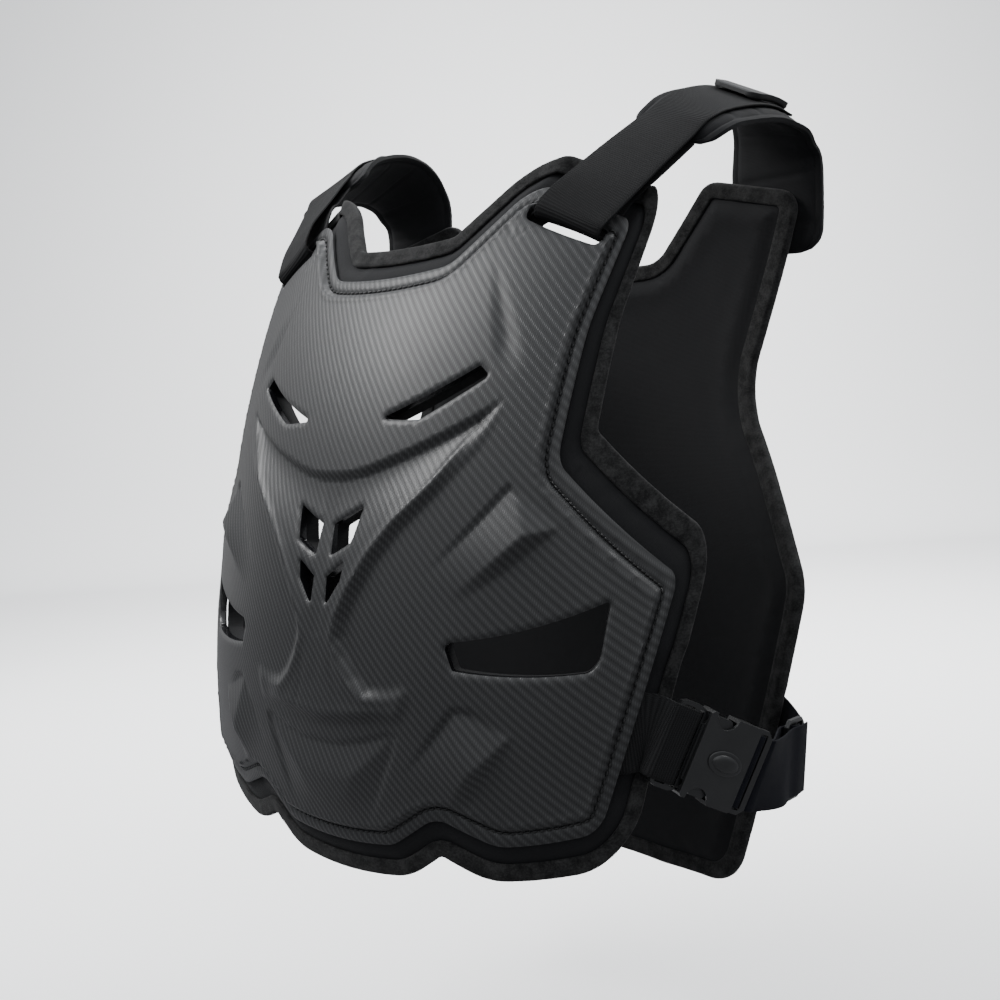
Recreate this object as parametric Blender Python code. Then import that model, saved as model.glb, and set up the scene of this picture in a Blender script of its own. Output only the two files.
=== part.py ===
"""Chest protector: a moulded front shell on a foam pad, a plain back pad, shoulder and side straps.

Metres, +Z up. The wearer's left is +X and the front is -Y. The origin lies midway between the
shoulders, where the protector sits on the wearer. Cloth and moulded pieces are first laid out flat,
as (across, up) from the middle of the hem line, and then carried onto the form of the torso.
"""
import bmesh
import bpy
import math
import numpy as np
from mathutils import Matrix, Vector
from mathutils.geometry import delaunay_2d_cdt

MM = 0.001
CLEAR = 0.3 * MM                    # between pieces that touch

# Where the chest hem line lies from the shoulders
SHOULDER_HEIGHT = 0.462
SHOULDER_DEPTH = 0.250

# Front shell
SHELL_HALF_WIDTH = 0.226            # laid flat, to the tip of the side wing
SHELL_HEIGHT = 0.400                # laid flat, hem line to shoulder tip
SHELL_WALL = 0.0026                 # at the stitched flange
PANEL_RISE = 0.003                  # moulded panel over the flange
FLANGE_WIDTH = 0.011
STEP_WIDTH = 0.004
SPINE_RISE = 0.0026                 # centre spine and its wings over the panel
RIB_RISE = 0.0045                   # slanting ribs over the panel

# Pads and their edging
PAD_MARGIN = 0.021                  # chest pad beyond the shell
PAD_THICKNESS = 0.010
PAD_EDGE_THICKNESS = 0.0040         # where the edging folds round it
PAD_TAPER = 0.010
PAD_SEAT = 0.0010                   # between the shell and its pad, whose facets differ
PAD_HOLE_MARGIN = 0.0012            # a hole in the pad beyond the one in the shell
BINDING_WIDTH = 0.009
BINDING_THICKNESS = 0.0014
BINDING_CLEAR = 0.0008
STRAP_PRESS = 0.0046                # how far a strap presses the pad down under the shell
STRAP_CHANNEL = 0.040               # half width, laid flat, of what the shoulder strap presses down
WEB_CHANNEL = 0.027                 # the same for the side web
CHANNEL_SLOPE = 0.014
CHANNEL_BACK = 0.022                # how far behind its slot or edge the strap presses
CHANNEL_REACH = 0.080
CHANNEL_EXTRA = 0.003               # its crease beyond the shell's edge
SLOT_BOW = 0.0008                   # how far webbing bows across to follow the shell at its slot
STRAP_SEAT = 0.0010                 # between a strap and the yoke or tab that bends with it
WEB_BOW = 0.0010                    # the same for the side web

BACK_HALF_WIDTH = 0.224
BACK_HEIGHT = 0.497
BACK_THICKNESS = 0.012
BACK_DEPTH = 0.054                  # outermost line of the back, behind the shoulders
BACK_HEM_DROP = 0.072               # back hem line below the chest hem line

# Webbing, elastic and hard parts
WEB_WIDTH = 0.045
WEB_THICKNESS = 0.0016
YOKE_WIDTH = 0.068
YOKE_THICKNESS = 0.008
TAB_WIDTH = 0.036
TAB_THICKNESS = 0.0045
SLOT_HALF_WIDTH = 0.005
SLOT_BAR = 0.014                    # shell above the slot's middle line
SLOT_STEP = 0.033                   # longest edge of a slot's outline
BUCKLE_WIDTH = 0.051
BUCKLE_BODY_LENGTH = 0.047
BUCKLE_LOOP_LENGTH = 0.019
BUCKLE_THICKNESS = 0.0125
FRAME_THICKNESS = 0.0040            # strap frames at both ends of the buckle
FRAME_RAIL = 0.0026
BUCKLE_BAR = 0.0035
SOCKET_FRAME_LENGTH = 0.0115        # end frame beyond the socket's body
SOCKET_WALL = 0.0020
NOTCH_START = 0.004                 # finger notch from the body's open end
NOTCH_LENGTH = 0.015
NOTCH_DEPTH = 0.0080
ELASTIC_THICKNESS = 0.0012
BACK_ANCHOR_HEIGHT = 0.122          # elastic on the back pad, over its hem line
SLIDER_LENGTH = 0.024
SLIDER_THICKNESS = 0.0028

# Mesh fineness
OUTLINE_STEP = 0.024
SHELL_GRID = 0.025
PAD_GRID = 0.038

# Outline of the shell's left half: across is a share of SHELL_HALF_WIDTH, up of SHELL_HEIGHT
#    across   up     corner radius in mm
SHELL_CORNERS = (
    (0.221, 0.908, 18.0),           # neckline corner
    (0.420, 1.005, 22.0),           # shoulder tip
    (0.770, 0.848, 14.0),           # outer shoulder corner
    (0.699, 0.712, 80.0),           # upper armhole
    (0.662, 0.535, 25.0),           # armhole corner
    (1.000, 0.262, 14.0),           # side wing
    (0.761, -0.008, 13.0),          # lower side corner
    (0.500, 0.028, 40.0),           # hem lobe
    (0.336, 0.093, 16.0),           # hem notch
    (0.195, 0.053, 20.0),           # middle of the hem
)
WINDOW_CORNERS = (
    (0.385, 0.343, 3.0),
    (0.411, 0.300, 3.0),
    (0.783, 0.212, 7.0),
    (0.819, 0.297, 3.0),
)
SLIT_CORNERS = (
    (0.133, 0.685, 1.2),
    (0.257, 0.672, 2.0),
    (0.442, 0.705, 2.0),
    (0.411, 0.726, 2.0),
)
UPPER_LOUVRE_CORNERS = (
    (0.022, 0.536, 1.0),
    (0.029, 0.489, 1.0),
    (0.100, 0.508, 1.0),
    (0.120, 0.561, 1.0),
)
LOWER_LOUVRE_CORNERS = (
    (0.024, 0.458, 1.0),
    (0.028, 0.416, 1.0),
    (0.075, 0.452, 1.0),
    (0.084, 0.481, 1.0),
)
SLOT_ENDS = ((0.447, 0.945), (0.673, 0.850))
# Raised forms on the shell, same shares
SPINE_CORNERS = (
    (0.000, 0.605),
    (0.210, 0.628),
    (0.490, 0.662),
    (0.490, 0.612),
    (0.235, 0.515),
    (0.124, 0.425),
    (0.084, 0.378),
    (0.110, 0.325),
    (0.165, 0.290),
    (0.290, 0.280),
    (0.262, 0.245),
    (0.000, 0.240),
)
UPPER_RIB_CORNERS = (
    (0.535, 0.535),
    (0.385, 0.472),
    (0.473, 0.418),
    (0.590, 0.462),
    (0.680, 0.437),
)
LOWER_RIB_CORNERS = (
    (0.411, 0.248),
    (0.296, 0.185),
    (0.482, 0.148),
    (0.575, 0.205),
)
# Outline of the back pad's left half: shares of BACK_HALF_WIDTH and BACK_HEIGHT
BACK_CORNERS = (
    (0.330, 0.888, 26.0),           # neck corner
    (0.530, 0.994, 12.0),           # inner shoulder corner
    (0.830, 0.960, 12.0),           # outer shoulder corner
    (0.660, 0.690, 70.0),           # armhole
    (1.000, 0.447, 32.0),           # side wing
    (0.705, 0.022, 32.0),           # lower side corner
    (0.400, 0.010, 60.0),           # hem
)
# Middle line of the shoulder strap over the shoulder, in mm from the origin
#    out     back     up
SHOULDER_ROUTE = (
    (131.0, -121.0, -57.5),
    (140.0, -97.0, -39.0),
    (150.0, -73.0, -21.0),
    (156.0, -58.0, -10.0),
    (160.0, -38.0, -1.5),
    (164.0, -10.0, 4.5),
    (166.0, 12.0, 5.5),
    (168.0, 32.0, 1.0),
    (168.5, 47.0, -10.0),
    (167.0, 55.5, -27.0),
)
YOKE_SEWN = ((0.738, 0.950), (0.732, 0.885))    # its end on the back pad, as back outline shares
ELASTIC_SEWN = (0.670, 0.768)                   # the elastic's end there, as shares of half width
SLOT_ACROSS = (0.89, 0.21, -0.41)               # across the strap at its slot
STRAP_TWIST = 0.85                              # share of it kept where the strap leaves the chest
SHOULDER_ACROSS = (0.80, -0.34, -0.47)          # across the strap in front of the shoulder
CREST_ACROSS = (0.88, -0.05, -0.44)             # across it on the shoulder and behind
WEB_SPOT = (0.885, 0.090)           # where the side web leaves the shell's edge, as shares
# Where the loop of the side buckle starts from that spot, and how the buckle lies
BUCKLE_LEAD = (0.00522, 0.01129, -0.00450)
BUCKLE_ALONG = (0.47, 0.75, -0.465)
BUCKLE_ACROSS = (0.27, 0.38, 0.88)
SHARP_CORNER = 0.001                            # a plate corner of less has no arc
SLIDER_LEAD = (0.0239, 0.1144, -0.0423)         # the slider from the buckle's start
SLIDER_ALONG = (0.00, 0.99, -0.10)
SLIDER_ACROSS = (0.05, 0.16, 0.98)

LEFT = 1
RIGHT = -1


def clear_scene():
    for item in list(bpy.data.objects):
        bpy.data.objects.remove(item, do_unlink=True)


def material(name, colour, roughness, metallic=0.0):
    made = bpy.data.materials.new(name)
    made.use_nodes = True
    shader = made.node_tree.nodes["Principled BSDF"]
    shader.inputs["Base Color"].default_value = (*colour, 1.0)
    shader.inputs["Roughness"].default_value = roughness
    shader.inputs["Metallic"].default_value = metallic
    made.diffuse_color = (*colour, 1.0)
    return made


def smooth(value):
    value = np.clip(value, 0.0, 1.0)
    return value * value * (3.0 - 2.0 * value)


# Forms of the torso

def turned(across, turn, turn_end, half_width):
    """Side and backward reach of a level section whose direction turns by turn and turn_end."""
    steps = 24
    share = np.linspace(0.0, 1.0, steps + 1)
    length = np.abs(across)[..., None] * share / half_width
    angle = turn[..., None] * length + turn_end[..., None] * length ** 3
    stride = np.abs(across) / steps
    side = (np.cos(angle)[..., :-1] + np.cos(angle)[..., 1:]).sum(-1) / 2 * stride
    back = (np.sin(angle)[..., :-1] + np.sin(angle)[..., 1:]).sum(-1) / 2 * stride
    return np.sign(across) * side, back


def chest_surface(across, up):
    across, up = np.broadcast_arrays(np.asarray(across, float), np.asarray(up, float))
    share = up / SHELL_HEIGHT
    turn = 0.663 + 0.858 * share - 0.481 * share ** 2
    turn_end = 0.120 - 0.300 * share + 0.730 * share ** 2
    side, back = turned(across, turn, turn_end, SHELL_HALF_WIDTH)
    lean = SHELL_HEIGHT * (-0.1227 * share + 0.2732 * share ** 2 + 0.0998 * share ** 3)
    rise = 0.335 * SHELL_HALF_WIDTH * (across / SHELL_HALF_WIDTH) ** 2
    return np.stack([side, lean + back - SHOULDER_DEPTH, up + rise - SHOULDER_HEIGHT], -1)


def back_surface(across, up):
    across, up = np.broadcast_arrays(np.asarray(across, float), np.asarray(up, float))
    share = up / BACK_HEIGHT
    turn = 0.60 - 0.50 * smooth((share - 0.45) / 0.50)
    side, forward = turned(across, turn, 0.0 * turn, BACK_HALF_WIDTH)
    lean = BACK_DEPTH - 0.1376 * BACK_HEIGHT * (share - 0.82) ** 2
    level = up - SHOULDER_HEIGHT - BACK_HEM_DROP
    return np.stack([side, lean - forward, level], -1)


def lifted(surface, across, up, lift, facing):
    """Points of a torso form, moved out along its normal by lift."""
    small = 0.5 * MM
    along = surface(across + small, up) - surface(across - small, up)
    rising = surface(across, up + small) - surface(across, up - small)
    normal = np.cross(along, rising) * facing
    normal /= np.linalg.norm(normal, axis=-1, keepdims=True)
    return surface(across, up) + normal * np.asarray(lift, float)[..., None]


def chest_point(across, up, lift):
    return lifted(chest_surface, np.asarray(across, float), np.asarray(up, float), lift, 1)


def back_point(across, up, lift):
    return lifted(back_surface, np.asarray(across, float), np.asarray(up, float), lift, -1)


# Flat outlines

def sized(rows, width, height):
    return [(row[0] * width, row[1] * height) + tuple(r * MM for r in row[2:]) for row in rows]


def mirrored_ring(rows):
    """Rows of the left half, from the top down, closed by their mirror images."""
    return list(rows) + [(-row[0],) + tuple(row[1:]) for row in reversed(rows)]


def widened(corners, distance):
    """Corners of a ring moved out by distance, with each rounding kept parallel."""
    count = len(corners)
    made = []
    turn_sign = ring_sign(corners)
    for i in range(count):
        before = Vector(corners[i - 1][:2])
        here = Vector(corners[i][:2])
        after = Vector(corners[(i + 1) % count][:2])
        first = (here - before).normalized()
        second = (after - here).normalized()
        out_first = Vector((first.y, -first.x)) * turn_sign
        out_second = Vector((second.y, -second.x)) * turn_sign
        middle = (out_first + out_second).normalized()
        reach = distance / max(0.35, middle.dot(out_first))
        bulges = (first.x * second.y - first.y * second.x) * turn_sign > 0
        radius = corners[i][2] + distance if bulges else corners[i][2] - distance
        made.append((here.x + middle.x * reach, here.y + middle.y * reach,
                     max(radius, 0.4 * corners[i][2])))
    return made


def ring_sign(corners):
    area = 0.0
    for i in range(len(corners)):
        area += corners[i - 1][0] * corners[i][1] - corners[i][0] * corners[i - 1][1]
    return 1.0 if area > 0 else -1.0


def rounded(corners, step):
    """Closed line through corners (across, up, radius) with round arcs, in steps of about step."""
    count = len(corners)
    runs = []
    for i in range(count):
        before = Vector(corners[i - 1][:2])
        here = Vector(corners[i][:2])
        after = Vector(corners[(i + 1) % count][:2])
        inward = (before - here).normalized()
        onward = (after - here).normalized()
        half = math.acos(max(-1.0, min(1.0, inward.dot(onward)))) / 2
        room = 0.48 * min((before - here).length, (after - here).length)
        cut = min(corners[i][2] / math.tan(half), room)
        radius = cut * math.tan(half)
        start = here + inward * cut
        end = here + onward * cut
        centre = here + (inward + onward).normalized() * (radius / math.sin(half))
        sweep = math.pi - 2 * half
        pieces = max(1, min(8, round(sweep * radius / (0.7 * step)), round(sweep / 0.35)))
        first = start - centre
        side = 1.0 if inward.x * onward.y - inward.y * onward.x < 0 else -1.0
        runs.append([centre + Matrix.Rotation(side * sweep * k / pieces, 2) @ first
                     for k in range(pieces + 1)])
        runs[-1][-1] = end
    line = []
    for i in range(count):
        line += runs[i]
        gap = runs[(i + 1) % count][0] - runs[i][-1]
        pieces = max(1, round(gap.length / step))
        line += [runs[i][-1] + gap * (k / pieces) for k in range(1, pieces)]
    return np.array([(p.x, p.y) for p in line])


def slot_ring(side, margin=0.0):
    """Round-ended slot that the shoulder strap goes through."""
    ends = [Vector((side * a * SHELL_HALF_WIDTH, b * SHELL_HEIGHT)) for a, b in SLOT_ENDS]
    along = (ends[1] - ends[0]).normalized()
    across = Vector((-along.y, along.x))
    radius = SLOT_HALF_WIDTH + margin
    line = []
    for end, way in ((ends[0], -1.0), (ends[1], 1.0)):
        for k in range(5):
            angle = math.pi * (k / 4 - 0.5)
            line.append(end + (along * math.cos(angle) + across * math.sin(angle)) * radius * way)
    return divided(np.array([(p.x, p.y) for p in line]), SLOT_STEP)


def parallel(ring, distance):
    """A ring's points, each moved out by distance."""
    ahead = np.roll(ring, -1, 0) - np.roll(ring, 1, 0)
    ahead /= np.linalg.norm(ahead, axis=1)[:, None]
    outward = np.stack([ahead[:, 1], -ahead[:, 0]], 1) * ring_sign(ring)
    return ring + outward * distance


def divided(ring, step):
    """A ring with points added so that no edge is longer than step."""
    line = []
    for a, b in zip(ring, np.roll(ring, -1, 0)):
        pieces = max(1, math.ceil(np.linalg.norm(b - a) / step))
        line += [a + (b - a) * k / pieces for k in range(pieces)]
    return np.array(line)


def inside(points, ring):
    """Whether each point lies in a ring."""
    x, y = points[:, 0], points[:, 1]
    result = np.zeros(len(points), bool)
    for a, b in zip(ring, np.roll(ring, -1, 0)):
        crosses = (a[1] > y) != (b[1] > y)
        rise = b[1] - a[1] if b[1] != a[1] else 1e-12
        result ^= crosses & (x < (b[0] - a[0]) * (y - a[1]) / rise + a[0])
    return result


def distance_in(points, ring):
    """Distance of each point from a ring's line, positive inside it."""
    nearest = np.full(len(points), np.inf)
    for a, b in zip(ring, np.roll(ring, -1, 0)):
        edge = b - a
        share = np.clip(((points - a) @ edge) / max(edge @ edge, 1e-18), 0.0, 1.0)
        nearest = np.minimum(nearest, np.linalg.norm(points - a - share[:, None] * edge, axis=1))
    return np.where(inside(points, ring), nearest, -nearest)


def flat_mesh(outline, holes, creases, grid):
    """Triangles that fill an outline round its holes, with points on every crease line."""
    points = []
    edges = []
    for ring in [outline] + holes + creases:
        first = len(points)
        points += [Vector(p) for p in ring]
        edges += [(first + i, first + (i + 1) % len(ring)) for i in range(len(ring))]
    low = outline.min(0)
    high = outline.max(0)
    rows = np.arange(low[1] + grid / 2, high[1], grid * 0.87)
    spots = []
    for number, row in enumerate(rows):
        columns = np.arange(0.0, high[0], grid) + (0.5 * grid if number % 2 else 0.0)
        spots += [(c, row) for c in columns] + [(-c, row) for c in columns if c > 0]
    spots = np.array(spots).reshape(-1, 2)
    keep = distance_in(spots, outline) > 0.45 * grid
    for ring in holes + creases:
        keep &= np.abs(distance_in(spots, ring)) > 0.45 * grid
    for ring in holes:
        keep &= ~inside(spots, ring)
    points += [Vector(p) for p in spots[keep]]
    found, _, faces, _, _, _ = delaunay_2d_cdt(points, edges, [], 1, 1e-7)
    flat = np.array([(p.x, p.y) for p in found])
    centres = np.array([flat[list(f)].mean(0) for f in faces])
    wanted = inside(centres, outline)
    for ring in holes:
        wanted &= ~inside(centres, ring)
    chosen = [tuple(f) for f, good in zip(faces, wanted) if good]
    used = sorted({v for f in chosen for v in f})
    number = {v: i for i, v in enumerate(used)}
    return flat[used], [tuple(number[v] for v in f) for f in chosen]


# Making objects

def add_object(name, points, faces, finish, sharp=0.7):
    mesh = bpy.data.meshes.new(name)
    mesh.from_pydata([tuple(p) for p in points], [], faces)
    shape = bmesh.new()
    shape.from_mesh(mesh)
    bmesh.ops.remove_doubles(shape, verts=shape.verts, dist=1e-6)
    bmesh.ops.recalc_face_normals(shape, faces=shape.faces)
    shape.to_mesh(mesh)
    shape.free()
    mesh.shade_smooth()
    mesh.set_sharp_from_angle(angle=sharp)
    made = bpy.data.objects.new(name, mesh)
    made.data.materials.append(finish)
    bpy.context.scene.collection.objects.link(made)
    return made


def add_slab(name, flat, faces, place, top, bottom, finish):
    """Closed slab between two lifts over a torso form."""
    upper = place(flat[:, 0], flat[:, 1], top)
    lower = place(flat[:, 0], flat[:, 1], bottom)
    count = len(flat)
    skin = list(faces) + [tuple(count + v for v in reversed(f)) for f in faces]
    seen = {}
    for f in faces:
        for i in range(3):
            seen[(f[i], f[(i + 1) % 3])] = True
    rim = [(a, b) for a, b in seen if (b, a) not in seen]
    skin += [(b, a, count + a, count + b) for a, b in rim]
    return add_object(name, np.vstack([upper, lower]), skin, finish)


def spline(stations, step):
    """Points of a smooth curve through rows of numbers; the first three are a place."""
    rows = [np.array(s, float) for s in stations]
    ends = [2 * rows[0] - rows[1]] + rows + [2 * rows[-1] - rows[-2]]
    line = []
    for i in range(1, len(ends) - 2):
        a, b, c, d = ends[i - 1:i + 3]
        span = np.linalg.norm(c[:3] - b[:3])
        pieces = max(1, round(span / step))
        for k in range(pieces):
            t = k / pieces
            line.append(0.5 * (2 * b + (c - a) * t + (2 * a - 5 * b + 4 * c - d) * t * t
                               + (3 * b - a - 3 * c + d) * t ** 3))
    line.append(rows[-1])
    return line


def add_sweep(name, stations, profile, finish, side=LEFT, step=0.012):
    """Closed body of one profile (across, lift) along stations.

    A station is a place, the direction across the strap and how far its edges bow down there.
    """
    line = spline(stations, step)
    points = []
    count = len(profile)
    for i, row in enumerate(line):
        ahead = line[min(i + 1, len(line) - 1)][:3] - line[max(i - 1, 0)][:3]
        ahead /= np.linalg.norm(ahead)
        across = row[3:6] - ahead * (row[3:6] @ ahead)
        across /= np.linalg.norm(across)
        normal = np.cross(ahead, across)
        half = profile[0][0]
        points += [row[:3] + across * a + normal * (b - row[6] * (a / half) ** 2) for a, b in profile]
    faces = []
    for i in range(len(line) - 1):
        for k in range(count):
            a, b = i * count + k, i * count + (k + 1) % count
            faces.append((a, b, b + count, a + count))
    faces.append(tuple(range(count)))
    faces.append(tuple(reversed(range(len(points) - count, len(points)))))
    points = np.array(points) * np.array([side, 1, 1])
    return add_object(name, points, faces, finish)


def strip(width, thickness):
    """Profile of a flat strip that never bows."""
    a, b = width / 2, thickness / 2
    return [(-a, -b), (a, -b), (a, b), (-a, b)]


def band(width, thickness):
    """Profile of webbing that may bow across."""
    a, b = width / 2, thickness / 2
    return [(-a, -b), (0.0, -b), (a, -b), (a, b), (0.0, b), (-a, b)]


def pillow(width, thickness, edge):
    """Profile of a padded strip with thin edges."""
    a, b = width / 2, thickness / 2
    e = edge / 2
    return [(-a, -e), (-a * 0.78, -b), (a * 0.78, -b), (a, -e), (a, e), (a * 0.78, b), (-a * 0.78, b), (-a, e)]


def binding_ring(name, ring, place, middle, press, finish):
    """Folded edging round a pad: a U that opens inwards over the pad's thin edge."""
    inner = PAD_EDGE_THICKNESS / 2 + BINDING_CLEAR
    outer = inner + BINDING_THICKNESS
    fold = BINDING_CLEAR + BINDING_THICKNESS
    section = ((-BINDING_WIDTH, outer), (fold, 0.7 * outer), (fold, -0.7 * outer),
               (-BINDING_WIDTH, -outer), (-BINDING_WIDTH, -inner), (BINDING_CLEAR, -inner),
               (BINDING_CLEAR, inner), (-BINDING_WIDTH, inner))
    rows = []
    for out, lift in section:
        spot = parallel(ring, out)
        rows.append(place(spot[:, 0], spot[:, 1], middle - press(spot) + lift))
    points = np.stack(rows, 1).reshape(-1, 3)
    return add_object(name, points, ring_faces(len(ring), len(section)), finish)


def ring_faces(total, count):
    """Faces of a closed ring of sections with count points each."""
    faces = []
    for i in range(total):
        for k in range(count):
            a, b = i * count + k, i * count + (k + 1) % count
            c, d = (i + 1) % total * count + k, (i + 1) % total * count + (k + 1) % count
            faces.append((a, b, d, c))
    return faces


# Front shell and pad

def shell_outline(margin=0.0, step=OUTLINE_STEP):
    corners = mirrored_ring(sized(SHELL_CORNERS, SHELL_HALF_WIDTH, SHELL_HEIGHT))
    return rounded(widened(corners, margin), step)


def shell_holes(margin=0.0):
    holes = []
    for side in (LEFT, RIGHT):
        for rows in (WINDOW_CORNERS, SLIT_CORNERS, UPPER_LOUVRE_CORNERS, LOWER_LOUVRE_CORNERS):
            corners = widened(sized(rows, SHELL_HALF_WIDTH, SHELL_HEIGHT), margin)
            corners = [(side * a, b, r) for a, b, r in corners]
            holes.append(rounded(corners, OUTLINE_STEP))
        holes.append(slot_ring(side, margin))
    return holes


def raised_ring(rows):
    return np.array([(a * SHELL_HALF_WIDTH, b * SHELL_HEIGHT) for a, b in rows])


def spine_ring():
    """Outline of the whole centre spine, whose first and last corners lie on the middle line."""
    left = raised_ring(SPINE_CORNERS)
    return np.vstack([left, left[-2:0:-1] * np.array([-1, 1])])


def shell_relief(points):
    """Height of the shell's outer face over its flange."""
    folded = np.stack([np.abs(points[:, 0]), points[:, 1]], 1)
    edge = distance_in(points, shell_outline())
    height = PANEL_RISE * smooth((edge - FLANGE_WIDTH) / STEP_WIDTH)
    height = height + SPINE_RISE * smooth((distance_in(points, spine_ring()) + 0.002) / 0.004)
    for rows in (UPPER_RIB_CORNERS, LOWER_RIB_CORNERS):
        height = height + RIB_RISE * smooth(distance_in(folded, raised_ring(rows)) / 0.012)
    return height


def strap_press(points):
    """How far the straps that run under the shell press the chest pad down."""
    folded = np.stack([np.abs(points[:, 0]), points[:, 1]], 1)
    pressed = np.zeros(len(points))
    for start, way, half_width, _ in channels():
        offset = folded - start
        ahead = np.where(np.linalg.norm(offset, axis=1) < CHANNEL_REACH, offset @ way, -1.0)
        aside = np.abs(offset @ np.array([-way[1], way[0]]))
        width = smooth((half_width + CHANNEL_SLOPE - aside) / CHANNEL_SLOPE)
        length = smooth((ahead + CHANNEL_BACK + CHANNEL_SLOPE) / CHANNEL_SLOPE)
        pressed = np.maximum(pressed, width * length)
    return STRAP_PRESS * pressed


def channels():
    """Start, direction, half width and crease length of what each strap presses down in the pad."""
    return ((slot_middle(), strap_way(), STRAP_CHANNEL, SLOT_BAR + CHANNEL_EXTRA),
            (web_middle(), web_way(), WEB_CHANNEL, CHANNEL_EXTRA))


def channel_ring(channel, side):
    """Crease round the band that a strap presses down, up to just past the shell's edge."""
    start, way, half_width, ahead = channel
    across = np.array([-way[1], way[0]]) * half_width
    low = start - way * CHANNEL_BACK
    high = start + way * ahead
    ring = np.array([low - across, low + across, high + across, high - across])
    return divided(ring, PAD_GRID / 2) * np.array([side, 1])


def slot_middle():
    (a, b), (c, d) = SLOT_ENDS
    return np.array([(a + c) / 2 * SHELL_HALF_WIDTH, (b + d) / 2 * SHELL_HEIGHT])


def strap_way():
    """Flat direction of the shoulder strap, square to its slot."""
    (a, b), (c, d) = SLOT_ENDS
    along = np.array([(c - a) * SHELL_HALF_WIDTH, (d - b) * SHELL_HEIGHT])
    along /= np.linalg.norm(along)
    return np.array([-along[1], along[0]])


def web_middle():
    """Where the side web leaves the shell's edge."""
    return np.array([WEB_SPOT[0] * SHELL_HALF_WIDTH, WEB_SPOT[1] * SHELL_HEIGHT])


def buckle_start():
    """Place of the side buckle's loop, beside the chest pad."""
    return chest_point(*web_middle(), 0.0) + np.array(BUCKLE_LEAD)


def web_way():
    """Flat direction of the side web, square to the shell's edge."""
    wing = np.array([SHELL_CORNERS[5][0] * SHELL_HALF_WIDTH, SHELL_CORNERS[5][1] * SHELL_HEIGHT])
    foot = np.array([SHELL_CORNERS[6][0] * SHELL_HALF_WIDTH, SHELL_CORNERS[6][1] * SHELL_HEIGHT])
    edge = (wing - foot) / np.linalg.norm(wing - foot)
    return np.array([edge[1], -edge[0]])


def make_chest_shell(finish):
    outline = shell_outline()
    creases = [shell_outline(-FLANGE_WIDTH), shell_outline(-FLANGE_WIDTH - STEP_WIDTH)]
    creases.append(divided(spine_ring(), SHELL_GRID))
    for rows in (UPPER_RIB_CORNERS, LOWER_RIB_CORNERS):
        ring = divided(raised_ring(rows), SHELL_GRID)
        creases += [ring, ring * np.array([-1, 1])]
    flat, faces = flat_mesh(outline, shell_holes(), creases, SHELL_GRID)
    lower = -(PANEL_RISE + SHELL_WALL) * np.ones(len(flat))
    upper = -PANEL_RISE + shell_relief(flat)
    return add_slab("chest_shell", flat, faces, chest_point, upper, lower, finish)


def make_chest_pad(finish):
    outline = shell_outline(PAD_MARGIN)
    creases = [parallel(outline, -BINDING_WIDTH), parallel(outline, -BINDING_WIDTH - PAD_TAPER)]
    for side in (LEFT, RIGHT):
        creases += [channel_ring(channel, side) for channel in channels()]
    flat, faces = flat_mesh(outline, shell_holes(PAD_HOLE_MARGIN), creases, PAD_GRID)
    thin = (PAD_THICKNESS - PAD_EDGE_THICKNESS) / 2 * edge_share(flat, outline)
    top = chest_pad_top() - thin - strap_press(flat)
    bottom = chest_pad_top() - PAD_THICKNESS + thin - strap_press(flat)
    return add_slab("chest_pad", flat, faces, chest_point, top, bottom, finish)


def edge_share(flat, outline):
    """1 where the edging folds round a pad, falling to 0 where the pad is full."""
    return 1.0 - smooth((distance_in(flat, outline) - BINDING_WIDTH - 0.0002) / PAD_TAPER)


def chest_pad_top():
    return -PANEL_RISE - SHELL_WALL - PAD_SEAT


def make_back_pad(finish):
    outline = back_outline()
    creases = [parallel(outline, -BINDING_WIDTH), parallel(outline, -BINDING_WIDTH - PAD_TAPER)]
    flat, faces = flat_mesh(outline, [], creases, PAD_GRID)
    thin = (BACK_THICKNESS - PAD_EDGE_THICKNESS) / 2 * edge_share(flat, outline)
    faces = [tuple(reversed(f)) for f in faces]
    return add_slab("back_pad", flat, faces, back_point, -thin, -BACK_THICKNESS + thin, finish)


def back_outline(margin=0.0):
    corners = mirrored_ring(sized(BACK_CORNERS, BACK_HALF_WIDTH, BACK_HEIGHT))
    return rounded(widened(corners, margin), 1.2 * OUTLINE_STEP)


def no_press(points):
    return np.zeros(len(points))


# Shoulder pieces

def sided(name, side):
    return name + ("_left" if side == LEFT else "_right")


def shoulder_stations(lift, first, last):
    """Rows of the shoulder route between two of its numbers, raised off it by lift."""
    rows = [np.array(r) * MM for r in SHOULDER_ROUTE]
    made = []
    for i in range(first, last + 1):
        crest, slot = smooth((i - 3) / 3), STRAP_TWIST * max(0.0, 1.0 - i / 3)
        across = np.array(SHOULDER_ACROSS) * (1 - crest) + np.array(CREST_ACROSS) * crest
        across = across * (1 - slot) + np.array(SLOT_ACROSS) * slot
        ahead = rows[min(i + 1, len(rows) - 1)] - rows[max(i - 1, 0)]
        normal = np.cross(across, ahead)
        normal /= np.linalg.norm(normal)
        made.append(np.concatenate([rows[i] + normal * lift, across, [0.0]]))
    return made


def make_yoke(side, finish):
    lift = -(WEB_THICKNESS / 2 + STRAP_SEAT + YOKE_THICKNESS / 2)
    stations = shoulder_stations(lift, 2, len(SHOULDER_ROUTE) - 1)
    for across, up in sized(YOKE_SEWN, BACK_HALF_WIDTH, BACK_HEIGHT):
        here = back_point(across, up, CLEAR + YOKE_THICKNESS / 2)
        aside = back_point(across + MM, up, CLEAR + YOKE_THICKNESS / 2) - here
        stations.append(np.concatenate([here, unit(aside), [0.0]]))
    profile = pillow(YOKE_WIDTH, YOKE_THICKNESS, PAD_EDGE_THICKNESS)
    return add_sweep(sided("shoulder_yoke", side), stations, profile, finish, side)


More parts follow.
